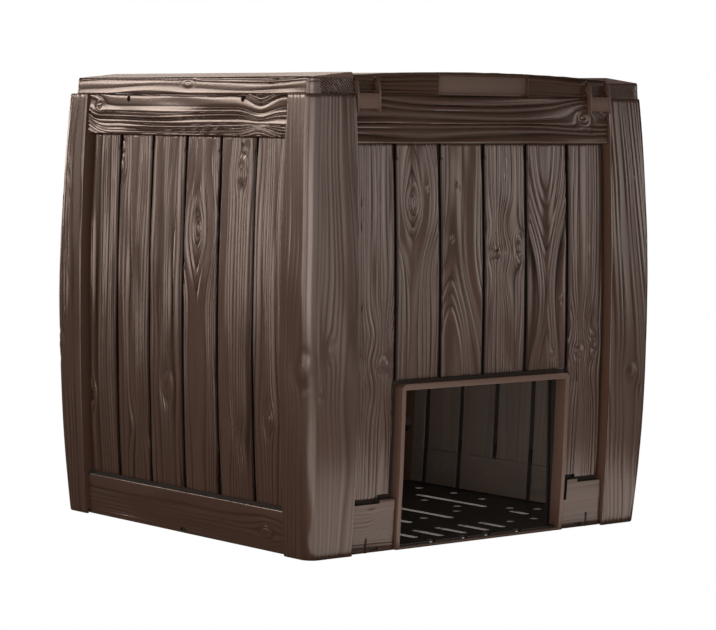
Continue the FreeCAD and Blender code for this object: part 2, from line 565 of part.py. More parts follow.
# ---- screws -------------------------------------------------------------------------------------
def screw(seat, direction):
    """Pan-head screw: underside of the head at the seat, shank along the direction."""
    along = vec(*direction).normalize()
    shank = rod(SCREW_RADIUS, seat, seat + along * SCREW_LENGTH)
    head = rod(SCREW_HEAD_RADIUS, seat - along * SCREW_HEAD, seat)
    return shank.fuse(head).removeSplitter()


# ---- base ---------------------------------------------------------------------------------------
def long_slot(x, y_low, y_high):
    """Round-ended slot through the floor plate, along Y."""
    radius = BASE_SLOT_WIDTH / 2
    foot, top = 0.0, FLOOR_TOP + BASE_RIB
    ends = [rod(radius, vec(x, y, foot), vec(x, y, top)) for y in (y_low + radius, y_high - radius)]
    middle = box(x - radius, x + radius, y_low + radius, y_high - radius, foot, top)
    return ends[0].fuse([ends[1], middle]).removeSplitter()


def base_ribs():
    """Feet under the floor plate: a ring along its edge and a cross in the middle."""
    edge_x, edge_y = HALF_X - BASE_DEPTH, HALF_Y - BASE_DEPTH
    half_rib = BASE_RIB_WIDTH / 2
    ring = box(-edge_x, edge_x, -edge_y, edge_y, 0.0, BASE_RIB)
    inner_x, inner_y = edge_x - BASE_RIB_WIDTH, edge_y - BASE_RIB_WIDTH
    ribs = [ring.cut(box(-inner_x, inner_x, -inner_y, inner_y, 0.0, BASE_RIB))]
    for y in BASE_CROSS_RIBS:
        ribs.append(box(-inner_x, inner_x, y - half_rib, y + half_rib, 0.0, BASE_RIB))
    for x in (-SEAM_X / 2 - half_rib, SEAM_X / 2 + half_rib):
        ribs.append(box(x - half_rib, x + half_rib, -inner_y, inner_y, 0.0, BASE_RIB))
    return ribs


def base_upstand(half, spans):
    """Upstand behind a front-facing bottom rail, over the given x ranges."""
    return [slab(half, BASE_DEPTH, BASE_DEPTH + BASE_RIM_SKIN, BASE_RIB, FLOOR_TOP + BASE_RIM_HEIGHT,
                 low, high) for low, high in spans]


def base_locks(half, offsets):
    """Tabs that reach from the upstand into the slots of the rail."""
    return [slab(half, RAIL_DEPTH + LOCK_SET_BACK, BASE_DEPTH, LOCK_Z - LOCK_HEIGHT / 2,
                 LOCK_Z + LOCK_HEIGHT / 2, u - LOCK_WIDTH / 2, u + LOCK_WIDTH / 2) for u in offsets]


def base_tray():
    """Perforated floor on low feet, with an upstand that the walls snap over."""
    edge_x, edge_y = HALF_X - BASE_DEPTH, HALF_Y - BASE_DEPTH
    plate = box(-edge_x, edge_x, -edge_y, edge_y, BASE_RIB, FLOOR_TOP)
    end_x, end_y = SEAM_X - BASE_RIM_END_GAP, SEAM_Y - BASE_RIM_END_GAP
    beside_hatch = FRAME_HALF_WIDTH + BASE_EDGE_GAP
    front = base_upstand(HALF_Y, ((-end_x, -beside_hatch), (beside_hatch, end_x)))
    rear = base_upstand(HALF_Y, ((-end_x, end_x),))
    side = base_upstand(HALF_X, ((-end_y, end_y),))
    front += base_locks(HALF_Y, (-FRONT_LOCK_OFFSET, FRONT_LOCK_OFFSET))
    rear += base_locks(HALF_Y, (-FRONT_LOCK_OFFSET, FRONT_LOCK_OFFSET))
    side += base_locks(HALF_X, (0.0,))
    parts = [plate] + base_ribs() + front + [turned(piece, 180) for piece in rear]
    for angle in (90, -90):
        parts += [turned(piece, angle) for piece in side]
    slots = [long_slot(*slot) for slot in BASE_SLOTS]
    holes = []
    for x, y in BASE_HOLES:
        for side_x in (-x, x):
            holes.append(rod(BASE_HOLE_RADIUS, vec(side_x, y, 0.0), vec(side_x, y, FLOOR_TOP + BASE_RIB)))
    return joined(parts).cut(slots + holes)


# ---- hatch --------------------------------------------------------------------------------------
def hatch_frame():
    """Frame lining the hatch opening: two jambs, a head and a sill in one moulding."""
    reach_y = HALF_Y + 2 * SWELL
    ring = slab(HALF_Y, FRAME_DEPTH, WALL_BACK, FRAME_FOOT, FRAME_TOP, -FRAME_HALF_WIDTH, FRAME_HALF_WIDTH)
    ring = ring.common(frame_outline(FRAME_HALF_WIDTH, FRAME_TOP, -reach_y, -SEAM_Y))
    ring = ring.cut(box(-HATCH_HALF_WIDTH, HATCH_HALF_WIDTH, -reach_y, -SEAM_Y, HATCH_SILL, HATCH_TOP))
    behind_sill = slab(HALF_Y, BASE_DEPTH - BASE_EDGE_GAP, WALL_BACK + GROOVE_WIDTH, 0.0,
                       FLOOR_TOP + POST_WEB_FOOT_GAP, -FRAME_HALF_WIDTH, FRAME_HALF_WIDTH)
    return ring.cut(behind_sill)


def hatch_door():
    """Sliding door, raised: flat panel with grooves outside, ribs inside and a finger slot."""
    top = DOOR_FOOT + DOOR_HEIGHT
    panel = box(-DOOR_HALF_WIDTH, DOOR_HALF_WIDTH, DOOR_FRONT_Y, DOOR_BACK_Y, DOOR_FOOT, top)
    rib_end = GUIDE_INNER - GUIDE_CLEARANCE
    ribs = []
    for z in (DOOR_FOOT, DOOR_FOOT + DOOR_HEIGHT / 2, top - DOOR_RIB_SKIN):
        ribs.append(box(-rib_end, rib_end, DOOR_BACK_Y, DOOR_BACK_Y + DOOR_RIB, z, z + DOOR_RIB_SKIN))
    for x in (-rib_end, rib_end - DOOR_RIB_SKIN):
        ribs.append(box(x, x + DOOR_RIB_SKIN, DOOR_BACK_Y, DOOR_BACK_Y + DOOR_RIB, DOOR_FOOT, top))
    grooves = []
    for x in (-FRONT_PLANK_PITCH, 0.0, FRONT_PLANK_PITCH):
        grooves.append(box(x - GROOVE_WIDTH / 2, x + GROOVE_WIDTH / 2, DOOR_FRONT_Y,
                           DOOR_FRONT_Y + DOOR_SKIN / 3, DOOR_FOOT, top))
    radius = FINGER_SLOT_HEIGHT / 2
    z = DOOR_FOOT + FINGER_SLOT_RISE
    reach = FINGER_SLOT_LENGTH / 2 - radius
    ends = [rod(radius, vec(x, DOOR_FRONT_Y, z), vec(x, DOOR_BACK_Y, z)) for x in (-reach, reach)]
    slot = box(-reach, reach, DOOR_FRONT_Y, DOOR_BACK_Y, z - radius, z + radius)
    return joined([panel] + ribs).cut(grooves + ends + [slot])


def guide_tab_heights():
    return [GUIDE_TOP - drop for drop in GUIDE_TAB_DROPS]


def guide_screw_seats():
    """Seats of the guide screws on the left guide's tabs: points and the way the shanks run."""
    x = -(GUIDE_OUTER + GUIDE_TAB / 2)
    back = WALL_BACK + SEAT_GAP + GUIDE_TAB_SKIN
    return [vec(x, face_y(HALF_Y, back, z), z) for z in guide_tab_heights()]


def hatch_guide():
    """Left guide: straight channel for the door's edge, backed up to the swelling wall."""
    front = WALL_BACK + SEAT_GAP
    block = flat_backed_slab(HALF_Y, front, GUIDE_BACK_Y, GUIDE_FOOT, GUIDE_TOP, -GUIDE_OUTER, -GUIDE_INNER)
    groove = box(-(DOOR_HALF_WIDTH + GUIDE_CLEARANCE), -GUIDE_INNER, DOOR_FRONT_Y - GUIDE_CLEARANCE,
                 DOOR_BACK_Y + GUIDE_CLEARANCE, GUIDE_FOOT, GUIDE_TOP)
    parts = [block.cut(groove)]
    for z in guide_tab_heights():
        parts.append(slab(HALF_Y, front, front + GUIDE_TAB_SKIN, z - GUIDE_TAB_HEIGHT / 2,
                          z + GUIDE_TAB_HEIGHT / 2, -(GUIDE_OUTER + GUIDE_TAB), -GUIDE_OUTER))
    screws = [screw(seat, (0, -1, 0)) for seat in guide_screw_seats()]
    return joined(parts).cut(screws)


# ---- lid ----------------------------------------------------------------------------------------
def board_outline(inset, y):
    """Section of the left lid board in the plane y, inset by a wall thickness."""
    outer_x, inner_x = -LID_HALF_X + inset, -BOARD_INNER_X - inset
    edge, crest = LID_FOOT + LID_BOARD_EDGE - inset, LID_FOOT + LID_BOARD_CREST - inset
    points = [(outer_x, LID_FOOT), (outer_x, edge - LID_BOARD_EDGE_ROUND),
              (outer_x + LID_BOARD_EDGE_ROUND, edge), (inner_x - LID_BOARD_EDGE_ROUND, crest),
              (inner_x, crest - LID_BOARD_EDGE_ROUND), (inner_x, LID_FOOT)]
    return [vec(x, y, z) for x, z in points]


def lid_board():
    """Left lid board: hollow plank along the lid's side with rounded outer corners."""
    length = LID_REAR_Y - LID_FRONT_Y
    side = -LID_HALF_X + LID_BOARD_EDGE_ROUND / 2
    solid = prism(board_outline(0.0, LID_FRONT_Y), vec(0, length, 0))
    corners = [edge for edge in solid.Edges
               if edge.BoundBox.ZLength > LID_BOARD_EDGE / 2 and edge.BoundBox.XMax < side]
    solid = solid.makeFillet(LID_CORNER_RADIUS, corners)
    hollow = prism(board_outline(LID_SKIN, LID_FRONT_Y + LID_SKIN), vec(0, length - 2 * LID_SKIN, 0))
    ends = [edge for edge in hollow.Edges
            if edge.BoundBox.ZLength > LID_BOARD_EDGE / 2 and edge.BoundBox.XMax < side + LID_SKIN]
    hollow = hollow.makeFillet(LID_CORNER_RADIUS - LID_SKIN, ends)
    screws = [screw(seat, (1, 0, 0)) for seat in board_screw_seats()]
    return solid.cut([hollow] + screws)


def board_screw_seats():
    """Seats of the screws that join the left board to the middle panel."""
    x = -BOARD_INNER_X - LID_SKIN
    z = LID_FOOT + LID_BOARD_EDGE / 2
    places = (LID_FRONT_Y + BOARD_SCREW_FROM_END, 0.0, LID_REAR_Y - BOARD_SCREW_FROM_END)
    return [vec(x, y, z) for y in places]


def panel_arc(half_width, drop, y):
    """Crowned top line of the middle panel in the plane y."""
    edge, crest = LID_FOOT + LID_PANEL_EDGE - drop, LID_FOOT + LID_PANEL_CREST - drop
    return Part.Arc(vec(-half_width, y, edge), vec(0, y, crest), vec(half_width, y, edge)).toShape()


def crowned_block(half_width, drop, foot, y_low, y_high):
    """Block from a foot height up to the crowned line."""
    top = panel_arc(half_width, drop, y_low)
    left, right = vec(-half_width, y_low, foot), vec(half_width, y_low, foot)
    sides = [Part.makeLine(top.Vertexes[0].Point, left), Part.makeLine(left, right),
             Part.makeLine(right, top.Vertexes[-1].Point)]
    return Part.Face(Part.Wire(Part.__sortEdges__([top] + sides))).extrude(vec(0, y_high - y_low, 0))


def clip_slots(x):
    """Two slots in the lid's front for the ribs of one clip."""
    rear = CLIP_PIN_Y + CLIP_EYE_RADIUS + CLIP_SLOT_GAP
    slots = []
    for low in (x - CLIP_WIDTH / 2, x + CLIP_WIDTH / 2 - CLIP_RIB):
        slots.append(box(low - CLIP_SLOT_GAP, low + CLIP_RIB + CLIP_SLOT_GAP, PANEL_FRONT_Y, rear,
                         CLIP_PIN_Z - CLIP_SLOT_REACH, CLIP_PIN_Z + CLIP_SLOT_REACH))
    return slots


def clip_lug(x):
    """Solid lug behind the lid's front, between the ribs of one clip, that holds the pin."""
    reach = CLIP_WIDTH / 2 - CLIP_RIB - CLIP_SLOT_GAP
    return box(x - reach, x + reach, PANEL_FRONT_Y + LID_SKIN, CLIP_PIN_Y + CLIP_EYE_RADIUS,
               LID_FOOT, LID_FOOT + LID_PANEL_CREST)


def lid_panel():
    """Middle of the lid: crowned shell with grooves on top, ribs below and a recess for the grip."""
    rear_y = LID_REAR_Y
    outer = crowned_block(PANEL_HALF_X, 0.0, LID_FOOT, PANEL_FRONT_Y, rear_y)
    inner = crowned_block(PANEL_HALF_X - LID_SKIN, LID_SKIN, LID_FOOT, PANEL_FRONT_Y + LID_SKIN,
                          rear_y - LID_SKIN)
    shell = outer.cut(inner)
    ribs = []
    rib_foot, crest = LID_FOOT + LID_RIB_DROP, LID_FOOT + LID_PANEL_CREST
    for y in (LID_FRONT_Y / 3, LID_REAR_Y / 3):
        ribs.append(inner.common(box(-PANEL_HALF_X, PANEL_HALF_X, y, y + LID_RIB_SKIN, rib_foot, crest)))
    for x in (-PANEL_HALF_X / 3, PANEL_HALF_X / 3):
        ribs.append(inner.common(box(x, x + LID_RIB_SKIN, PANEL_FRONT_Y, rear_y, rib_foot, crest)))
    lugs = [outer.common(clip_lug(x)) for x in (-CLIP_OFFSET, CLIP_OFFSET)]
    plate_back = PANEL_FRONT_Y + GRIP_RECESS + GRIP_SKIN
    recess_half = GRIP_HALF_WIDTH + GRIP_SIDE_GAP
    backing_half = recess_half + LID_SKIN
    backing = outer.common(box(-backing_half, backing_half, PANEL_FRONT_Y + LID_SKIN,
                               plate_back + LID_SKIN, LID_FOOT, crest))
    recess = box(-recess_half, recess_half, PANEL_FRONT_Y, plate_back, LID_FOOT,
                 LID_FOOT + GRIP_FOOT + GRIP_HEIGHT + GRIP_SIDE_GAP)
    grooves = []
    for x in (-LID_GROOVE_OFFSET, LID_GROOVE_OFFSET):
        grooves.append(box(x - LID_GROOVE_WIDTH / 2, x + LID_GROOVE_WIDTH / 2, PANEL_FRONT_Y, rear_y,
                           crest - LID_GROOVE_DEPTH, crest))
    cuts = clip_slots(-CLIP_OFFSET) + clip_slots(CLIP_OFFSET) + [recess]
    cuts += clip_pins() + [mirrored for seat in board_screw_seats() for mirrored in
                           (screw(seat, (1, 0, 0)), mirrored_x(screw(seat, (1, 0, 0))))]
    cuts += arm_screws()
    return joined([shell] + ribs + lugs + [backing]).cut(cuts + grooves)


def grip_plate():
    """Plain plate recessed in the middle of the lid's front, above a finger gap."""
    y = PANEL_FRONT_Y + GRIP_RECESS
    foot = LID_FOOT + GRIP_FOOT
    return box(-GRIP_HALF_WIDTH, GRIP_HALF_WIDTH, y, y + GRIP_SKIN, foot, foot + GRIP_HEIGHT)


# ---- lid clips ----------------------------------------------------------------------------------
def clip_rib(x_low):
    """Side rib of a clip with its eye around the pin."""
    shoulder = BODY_HEIGHT + CLIP_SHOULDER
    rise, back = 0.8 * CLIP_EYE_RADIUS, 0.6 * CLIP_EYE_RADIUS
    top, clear_y = CLIP_PIN_Z + CLIP_RIB_TOP, PANEL_FRONT_Y - CLIP_SLOT_GAP
    points = [(CLIP_PIN_Y, CLIP_PIN_Z), (CLIP_PIN_Y - back, CLIP_PIN_Z + rise), (clear_y, CLIP_PIN_Z + rise),
              (clear_y, top), (CLIP_FRONT_Y + CLIP_RIB_LEAN, top), (CLIP_FRONT_Y, shoulder),
              (CLIP_FRONT_Y, CLIP_FOOT), (CLIP_BACK_Y, CLIP_FOOT),
              (CLIP_BACK_Y, CLIP_PIN_Z - 2 * CLIP_EYE_RADIUS), (CLIP_PIN_Y - back, CLIP_PIN_Z - rise)]
    rib = prism([vec(x_low, y, z) for y, z in points], vec(CLIP_RIB, 0, 0))
    start = vec(x_low, CLIP_PIN_Y, CLIP_PIN_Z)
    eye = rod(CLIP_EYE_RADIUS, start, start + vec(CLIP_RIB, 0, 0))
    return rib.fuse(eye).removeSplitter()


def lid_clip(x):
    """Clip that swings on the lid's pin: two ribs, a plate and a hook beside the wall's catch."""
    low, high = x - CLIP_WIDTH / 2, x + CLIP_WIDTH / 2
    plate_y = CLIP_FRONT_Y + CLIP_PLATE_SET_BACK
    hook_top = CATCH_TOP - CATCH_HEIGHT - CLIP_HOOK_GAP
    hook_y = face_y(HALF_Y, RAIL_DEPTH - CATCH_DEPTH, hook_top) - CLIP_HOOK_GAP
    parts = [clip_rib(low), clip_rib(high - CLIP_RIB)]
    plate_foot = CLIP_FOOT + CLIP_PLATE_RAISED
    parts.append(box(low, high, plate_y, plate_y + CLIP_PLATE_SKIN, plate_foot, BODY_HEIGHT + CLIP_PLATE_TOP))
    parts.append(box(x - CATCH_HALF_WIDTH, x + CATCH_HALF_WIDTH, plate_y, hook_y, plate_foot, hook_top))
    bore = rod(CLIP_PIN_RADIUS + PIN_RUNNING_GAP, vec(low - CLIP_RIB, CLIP_PIN_Y, CLIP_PIN_Z),
               vec(high + CLIP_RIB, CLIP_PIN_Y, CLIP_PIN_Z))
    return joined(parts).cut(bore)


def clip_pin(x):
    """Pin of one clip, held in the lid's lug and reaching through both ribs."""
    reach = CLIP_WIDTH / 2
    start, end = vec(x - reach, CLIP_PIN_Y, CLIP_PIN_Z), vec(x + reach, CLIP_PIN_Y, CLIP_PIN_Z)
    return rod(CLIP_PIN_RADIUS, start, end)


def clip_pins():
    return [clip_pin(x) for x in (-CLIP_OFFSET, CLIP_OFFSET)]


# ---- hinges, first seen as on a front-facing wall -----------------------------------------------
def hinge_bracket(x):
    """Bracket on the top rail: curved plate with two ears around the pin."""
    reach = HINGE_ARM_WIDTH / 2 + HINGE_SIDE_GAP
    clear_rim = BODY_HEIGHT + LID_GAP / 2
    ear_depth = HINGE_BEHIND_FACE - HINGE_EYE_RADIUS
    seat = RAIL_DEPTH - SEAT_GAP
    parts = [slab(HALF_Y, RAIL_DEPTH - BRACKET_SKIN, seat, WALL_TOP - BRACKET_HEIGHT, WALL_TOP,
                  x - BRACKET_HALF_WIDTH, x + BRACKET_HALF_WIDTH)]
    for low in (x - reach - HINGE_EAR, x + reach):
        high = low + HINGE_EAR
        parts.append(slab(HALF_Y, ear_depth, seat, WALL_TOP - BRACKET_HEIGHT / 2, clear_rim, low, high))
        parts.append(box(low, high, -HINGE_Y - HINGE_EYE_RADIUS, -HINGE_Y + HINGE_EYE_RADIUS,
                         clear_rim, HINGE_Z))
        parts.append(rod(HINGE_EYE_RADIUS, vec(low, -HINGE_Y, HINGE_Z), vec(high, -HINGE_Y, HINGE_Z)))
    screws = [screw(seat, (0, 1, 0)) for seat in bracket_screw_seats(x)]
    return joined(parts).cut([hinge_pin(x)] + screws)


def bracket_screw_seats(x):
    """Seats of the screws that hold a bracket to the rail."""
    inset = SCREW_HEAD_RADIUS + BRACKET_SCREW_EDGE
    reach = BRACKET_HALF_WIDTH - inset
    heights = (WALL_TOP - BRACKET_HEIGHT + inset, WALL_TOP - inset)
    return [vec(x + side, face_y(HALF_Y, RAIL_DEPTH - BRACKET_SKIN, z), z) for side in (-reach, reach)
            for z in heights]


def hinge_pin(x):
    """Headed pin through the ears of one bracket."""
    reach = HINGE_ARM_WIDTH / 2 + HINGE_SIDE_GAP + HINGE_EAR
    start = vec(x - reach, -HINGE_Y, HINGE_Z)
    shank = rod(HINGE_PIN_RADIUS, start, vec(x + reach + HINGE_PIN_TAIL, -HINGE_Y, HINGE_Z))
    head = rod(HINGE_PIN_HEAD_RADIUS, start - vec(HINGE_PIN_HEAD, 0, 0), start)
    return shank.fuse(head).removeSplitter()


def hinge_arm(x):
    """Arm on the lid's rear face with its knuckle between the bracket's ears."""
    half_width = HINGE_ARM_WIDTH / 2
    knuckle = HINGE_EYE_RADIUS - HINGE_KNUCKLE_DROP
    lid_y = -LID_REAR_Y
    plate = box(x - ARM_PLATE_HALF_WIDTH, x + ARM_PLATE_HALF_WIDTH, lid_y - ARM_PLATE_SKIN, lid_y,
                LID_FOOT + LID_GAP, LID_FOOT + LID_BOARD_EDGE)
    neck = box(x - half_width, x + half_width, -HINGE_Y, lid_y - ARM_PLATE_SKIN,
               HINGE_Z - knuckle, HINGE_Z + knuckle)
    eye = rod(knuckle, vec(x - half_width, -HINGE_Y, HINGE_Z), vec(x + half_width, -HINGE_Y, HINGE_Z))
    bore = rod(HINGE_PIN_RADIUS + PIN_RUNNING_GAP, vec(x - half_width - HINGE_EAR, -HINGE_Y, HINGE_Z),
               vec(x + half_width + HINGE_EAR, -HINGE_Y, HINGE_Z))
    screws = [screw(seat, (0, 1, 0)) for seat in arm_screw_seats(x)]
    return joined([plate, neck, eye]).cut([bore] + screws)


def arm_screw_seats(x):
    """Seats of the screws that hold an arm to the lid."""
    reach = (ARM_PLATE_HALF_WIDTH + HINGE_ARM_WIDTH / 2) / 2
    return [vec(x + side, -LID_REAR_Y - ARM_PLATE_SKIN, HINGE_Z) for side in (-reach, reach)]


def arm_screws():
    """Screws of both hinge arms, in place at the rear."""
    return [turned(screw(seat, (0, 1, 0)), 180) for x in (-HINGE_OFFSET, HINGE_OFFSET)
            for seat in arm_screw_seats(x)]


def bracket_screws():
    """Screws of both hinge brackets, in place at the rear."""
    return [turned(screw(seat, (0, 1, 0)), 180) for x in (-HINGE_OFFSET, HINGE_OFFSET)
            for seat in bracket_screw_seats(x)]


def rear_wall():
    """Rear wall, drilled for the hinge brackets."""
    wall = side_wall(HALF_Y, SEAM_X, FRONT_PLANK_PITCH, (-FRONT_LOCK_OFFSET, FRONT_LOCK_OFFSET))
    return turned(wall, 180).cut(bracket_screws())


def board_screws():
    """Screws that join both boards to the middle panel."""
    left = [screw(seat, (1, 0, 0)) for seat in board_screw_seats()]
    return left + [mirrored_x(piece) for piece in left]


def guide_screws():
    """Screws of both hatch guides."""
    left = [screw(seat, (0, -1, 0)) for seat in guide_screw_seats()]
    return left + [mirrored_x(piece) for piece in left]


# ---- assembly -----------------------------------------------------------------------------------
def all_nodes():
    """Every sub-part by name, each a shape or a list of like solids."""
    outer, inner = barrel(0.0), barrel(POST_SKIN)
    post = corner_post(outer, inner)
    side = side_wall(HALF_X, SEAM_Y, SIDE_PLANK_PITCH, (0.0,)).cut(tie_holes())
    guide = hatch_guide()
    board = lid_board()
    nodes = {
        "base_tray": base_tray(),
        "corner_post_front_left": post,
        "corner_post_front_right": mirrored_x(post),
        "corner_post_rear_left": mirrored_y(post),
        "corner_post_rear_right": mirrored_x(mirrored_y(post)),
        "wall_panel_front": front_wall().cut(guide_screws()),
        "wall_panel_rear": rear_wall(),
        "wall_panel_left": turned(side, -90),
        "wall_panel_right": turned(side, 90),
        "hatch_frame": hatch_frame(),
        "hatch_door": hatch_door(),
        "hatch_guide_left": guide,
        "hatch_guide_right": mirrored_x(guide),
        "hatch_guide_screws": guide_screws(),
        "lid_panel": lid_panel(),
        "lid_board_left": board,
        "lid_board_right": mirrored_x(board),
        "lid_board_screws": board_screws(),
        "lid_grip_plate": grip_plate(),
        "hinge_bracket_screws": bracket_screws(),
        "hinge_arm_screws": arm_screws(),
    }
    for name, x in (("left", -CLIP_OFFSET), ("right", CLIP_OFFSET)):
        nodes["lid_clip_" + name] = lid_clip(x)
        nodes["lid_clip_pin_" + name] = clip_pin(x)
    for name, x in (("left", HINGE_OFFSET), ("right", -HINGE_OFFSET)):
        nodes["hinge_bracket_" + name] = turned(hinge_bracket(x), 180)
        nodes["hinge_arm_" + name] = turned(hinge_arm(x), 180)
        nodes["hinge_pin_" + name] = turned(hinge_pin(x), 180)
    return nodes


def export(nodes):
    """Write one STEP file per node and print what each holds."""
    os.makedirs("parts", exist_ok=True)
    for name, shape in nodes.items():
        solids = shape if isinstance(shape, list) else shape.Solids
        whole = solids[0] if len(solids) == 1 else Part.makeCompound(solids)
        whole.exportStep("parts/" + name + ".step")
        print(name, len(whole.Solids), "solids", whole.isValid(), round(whole.Volume / 1000.0, 2), "cm3")


export(all_nodes())
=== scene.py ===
"""Looks of a wood-look garden bin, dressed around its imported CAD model.

The moulded wood grain lies on thin closed skins over the faces of the CAD walls, posts and lid.
Shapes are worked out in millimetres, in the frame of the CAD model: origin on the ground under
the centre, +Z up, front towards -Y. A wall is described in its own terms: u to the right as seen
from outside, z up, and the depth behind the outer face of the corner posts.
"""
import math

import bmesh
import bpy
import numpy as np
from mathutils import Matrix, Vector


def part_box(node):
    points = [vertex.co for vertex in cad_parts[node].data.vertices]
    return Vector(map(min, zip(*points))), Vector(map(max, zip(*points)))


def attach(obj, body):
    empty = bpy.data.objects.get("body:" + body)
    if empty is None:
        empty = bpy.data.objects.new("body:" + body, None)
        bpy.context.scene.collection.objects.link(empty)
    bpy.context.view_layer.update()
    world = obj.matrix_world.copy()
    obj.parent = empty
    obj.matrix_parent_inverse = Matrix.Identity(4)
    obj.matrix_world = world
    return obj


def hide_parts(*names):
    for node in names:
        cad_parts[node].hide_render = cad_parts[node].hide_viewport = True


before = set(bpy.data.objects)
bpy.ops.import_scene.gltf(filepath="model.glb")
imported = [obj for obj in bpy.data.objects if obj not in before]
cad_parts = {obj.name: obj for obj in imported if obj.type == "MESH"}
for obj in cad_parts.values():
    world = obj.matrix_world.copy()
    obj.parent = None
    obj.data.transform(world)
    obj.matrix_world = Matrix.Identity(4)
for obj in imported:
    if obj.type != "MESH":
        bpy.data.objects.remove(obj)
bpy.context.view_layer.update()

MM = 0.001
SLACK = 0.15                # skins overlap the CAD edges by this much

# ---- sizes of the CAD model ------------------------------
post_low, post_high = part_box("corner_post_front_left")
front_low, front_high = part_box("wall_panel_front")
side_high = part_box("wall_panel_left")[1]
SWELL = 14.0
HEIGHT = post_high[2] / MM
HALF_X = -post_low[0] / MM - SWELL
HALF_Y = -post_low[1] / MM - SWELL
WALL_END_GAP = 0.3
SEAM_X = front_high[0] / MM + WALL_END_GAP
SEAM_Y = side_high[1] / MM + WALL_END_GAP
WALL_TOP = front_high[2] / MM
WALL_FOOT = front_low[2] / MM
CORNER_RADIUS = 20.0
RAIL_DEPTH = 7.0
PLANK_DEPTH = 15.0
GROOVE_DEPTH = 20.0
WALL_BACK = 24.5
PLANK_COUNT = 6
PLANK_OVERHANG = 5.9
GROOVE_WIDTH = 5.0
EDGE_GROOVE_WIDTH = 6.0
PLANK_EDGE = (5.0, 4.2)     # radius and drop of a plank's upright edges
VENT_HEIGHT = 24.0
INNER_INSET = 3.6           # the inner faces of the planks stop this far beside the grooves
LINING_FOOT = 8.5           # foot of the lining behind a bottom rail
PAINTED_SHADE_EDGE = 3.0           # width of the planks' edges with painted shade beside the grooves
VENT_NOTCH = 1.2            # the vents reach this far into the planks on both sides
FRONT_TOP_RAIL = 75.0
FRONT_BOTTOM_RAIL = 77.5
SIDE_TOP_RAIL = 66.5
SIDE_BOTTOM_RAIL = 69.0
LEDGE_RISE = 5.0
PLANK_FOOT_GAP = 7.0
BLOCK_STEP = 6.0
BLOCK_STEP_WIDTH = 34.5
JAMB_SLOT_FOOT = 50.0
LOCK_FROM_SEAM = 51.0
LOCK_HALF_WIDTH = 8.0
LOCK_LOW, LOCK_HIGH = 4.5, 9.5
TIE_HOLE_FROM_SEAM = 119.0
TIE_HOLE_DROP = 8.5
TIE_STEPS = ((5.0, 2.4), (3.9, 3.7), (2.3, 4.8))    # half widths and half heights that round a tie hole
frame_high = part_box("hatch_frame")[1]
FRAME_HALF = frame_high[0] / MM
FRAME_TOP = frame_high[2] / MM
HEAD_SLIT = 5.0
panel_low, panel_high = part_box("lid_panel")
board_low, board_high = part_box("lid_board_left")
PANEL_HALF = panel_high[0] / MM
PANEL_FRONT = panel_low[1] / MM
LID_REAR = panel_high[1] / MM
LID_FOOT = panel_low[2] / MM
PANEL_CREST = panel_high[2] / MM
PANEL_EDGE = LID_FOOT + 28.5
BOARD_OUTER = -board_low[0] / MM
BOARD_INNER = -board_high[0] / MM
BOARD_FRONT = board_low[1] / MM
BOARD_EDGE = LID_FOOT + 25.0
BOARD_CREST = LID_FOOT + 33.0
BOARD_ROUND = 3.0
LID_CORNER = 14.0
LIP = 1.4                   # the lid's skins reach this far below its lower edge
SIDE_LEAN = 2.2             # the lid's side faces stand out this much further at the foot
grip_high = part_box("lid_grip_plate")[1]
GRIP_GAP = 0.6              # around the grip plate in its recess
RECESS_HALF = grip_high[0] / MM + GRIP_GAP
RECESS_TOP = grip_high[2] / MM + GRIP_GAP
CLIP_OFFSET = SEAM_X - 24.0
CLIP_WIDTH = 46.0
CLIP_RIB = 2.6
LEFT_JAMB_SLOT, RIGHT_JAMB_SLOT = 3.0, 11.0     # width of the slots beside the hatch frame

# ---- sizes of the skins ----------------------------------
LEAST_LIFT = 0.12           # the grain's lowest places lie this far above the CAD face, rounded edges apart
SKIN_LIFT = 0.2             # a wall's grain stands out this much further than asked
SKIN_BEHIND = 0.9           # the skins of posts and lid reach this far behind their face
TOP_BEHIND = 1.2            # the same for the boards on top of the lid
RAIL_LAP = 0.5              # a rail's skin reaches this far behind the planks' face
GROOVE_LAP = 0.1            # a plank's skin ends this far before the bottom of the grooves
FOOT_SKIN = 1.5             # a lower rail's or block's skin reaches this far behind its face
CUT_PAST = 1.0              # cuts reach this far past the edge of a skin
VENT_EDGE = 0.2             # grid lines stand this far beside the ends of a vent
NOTCH_FADE = 5.0            # a vent's notch fades out over this distance from a plank's edge
PAINTED_SHADE_START = 0.5           # a plank's painted edge shade starts this far inside its side
END_EDGE = (2.5, 1.3)       # radius and drop of a wall piece's upper and lower edges
POST_PROUD = 1.2
POST_END = 0.3              # a post's skin ends this far from the post's ends
NEAR_POST_CROWN = 2.6
INNER_PROUD, INNER_RELIEF = 2.3, 0.6     # inner planks, and the share of the grain's relief they show
LINING_GAP = 0.5            # between the inner planks and the lining below them
TOP_PROUD, BOARD_PROUD = 0.7, 0.6   # the grain on top of the lid's middle panel and of its side boards
FACE_PROUD = 0.48           # the grain on the lid's front and rear faces
TOP_RELIEF = 0.4            # share of the grain's relief that the lid's top shows
TOP_SETBACK = 0.6           # the middle panel's top skin starts this far behind its front
TOP_EDGE_GAP = 0.4          # at both ends of a side board's top skin, and above its side band
BAND_PROUD, BAND_LEAST = 0.5, 0.1   # the grain on a side board's band, and its lowest places
FACE_END = 0.1              # the lid's face skins end this far from the crown and from the rear's lower edge
INNER_START = 0.02         # the inner skins start this far in front of the wall's inner face
INNER_ABOVE_FRAME, INNER_BELOW_TOP = 20.0, 80.0     # ends of the front wall's inner planks
INNER_FROM_END = 72.0       # ends of the other walls' inner planks, from the wall's top and foot
CLIP_CLEAR, CLIP_FADE = 3.0, 8.0    # flat width beside a clip, and where the lid's grain fades in
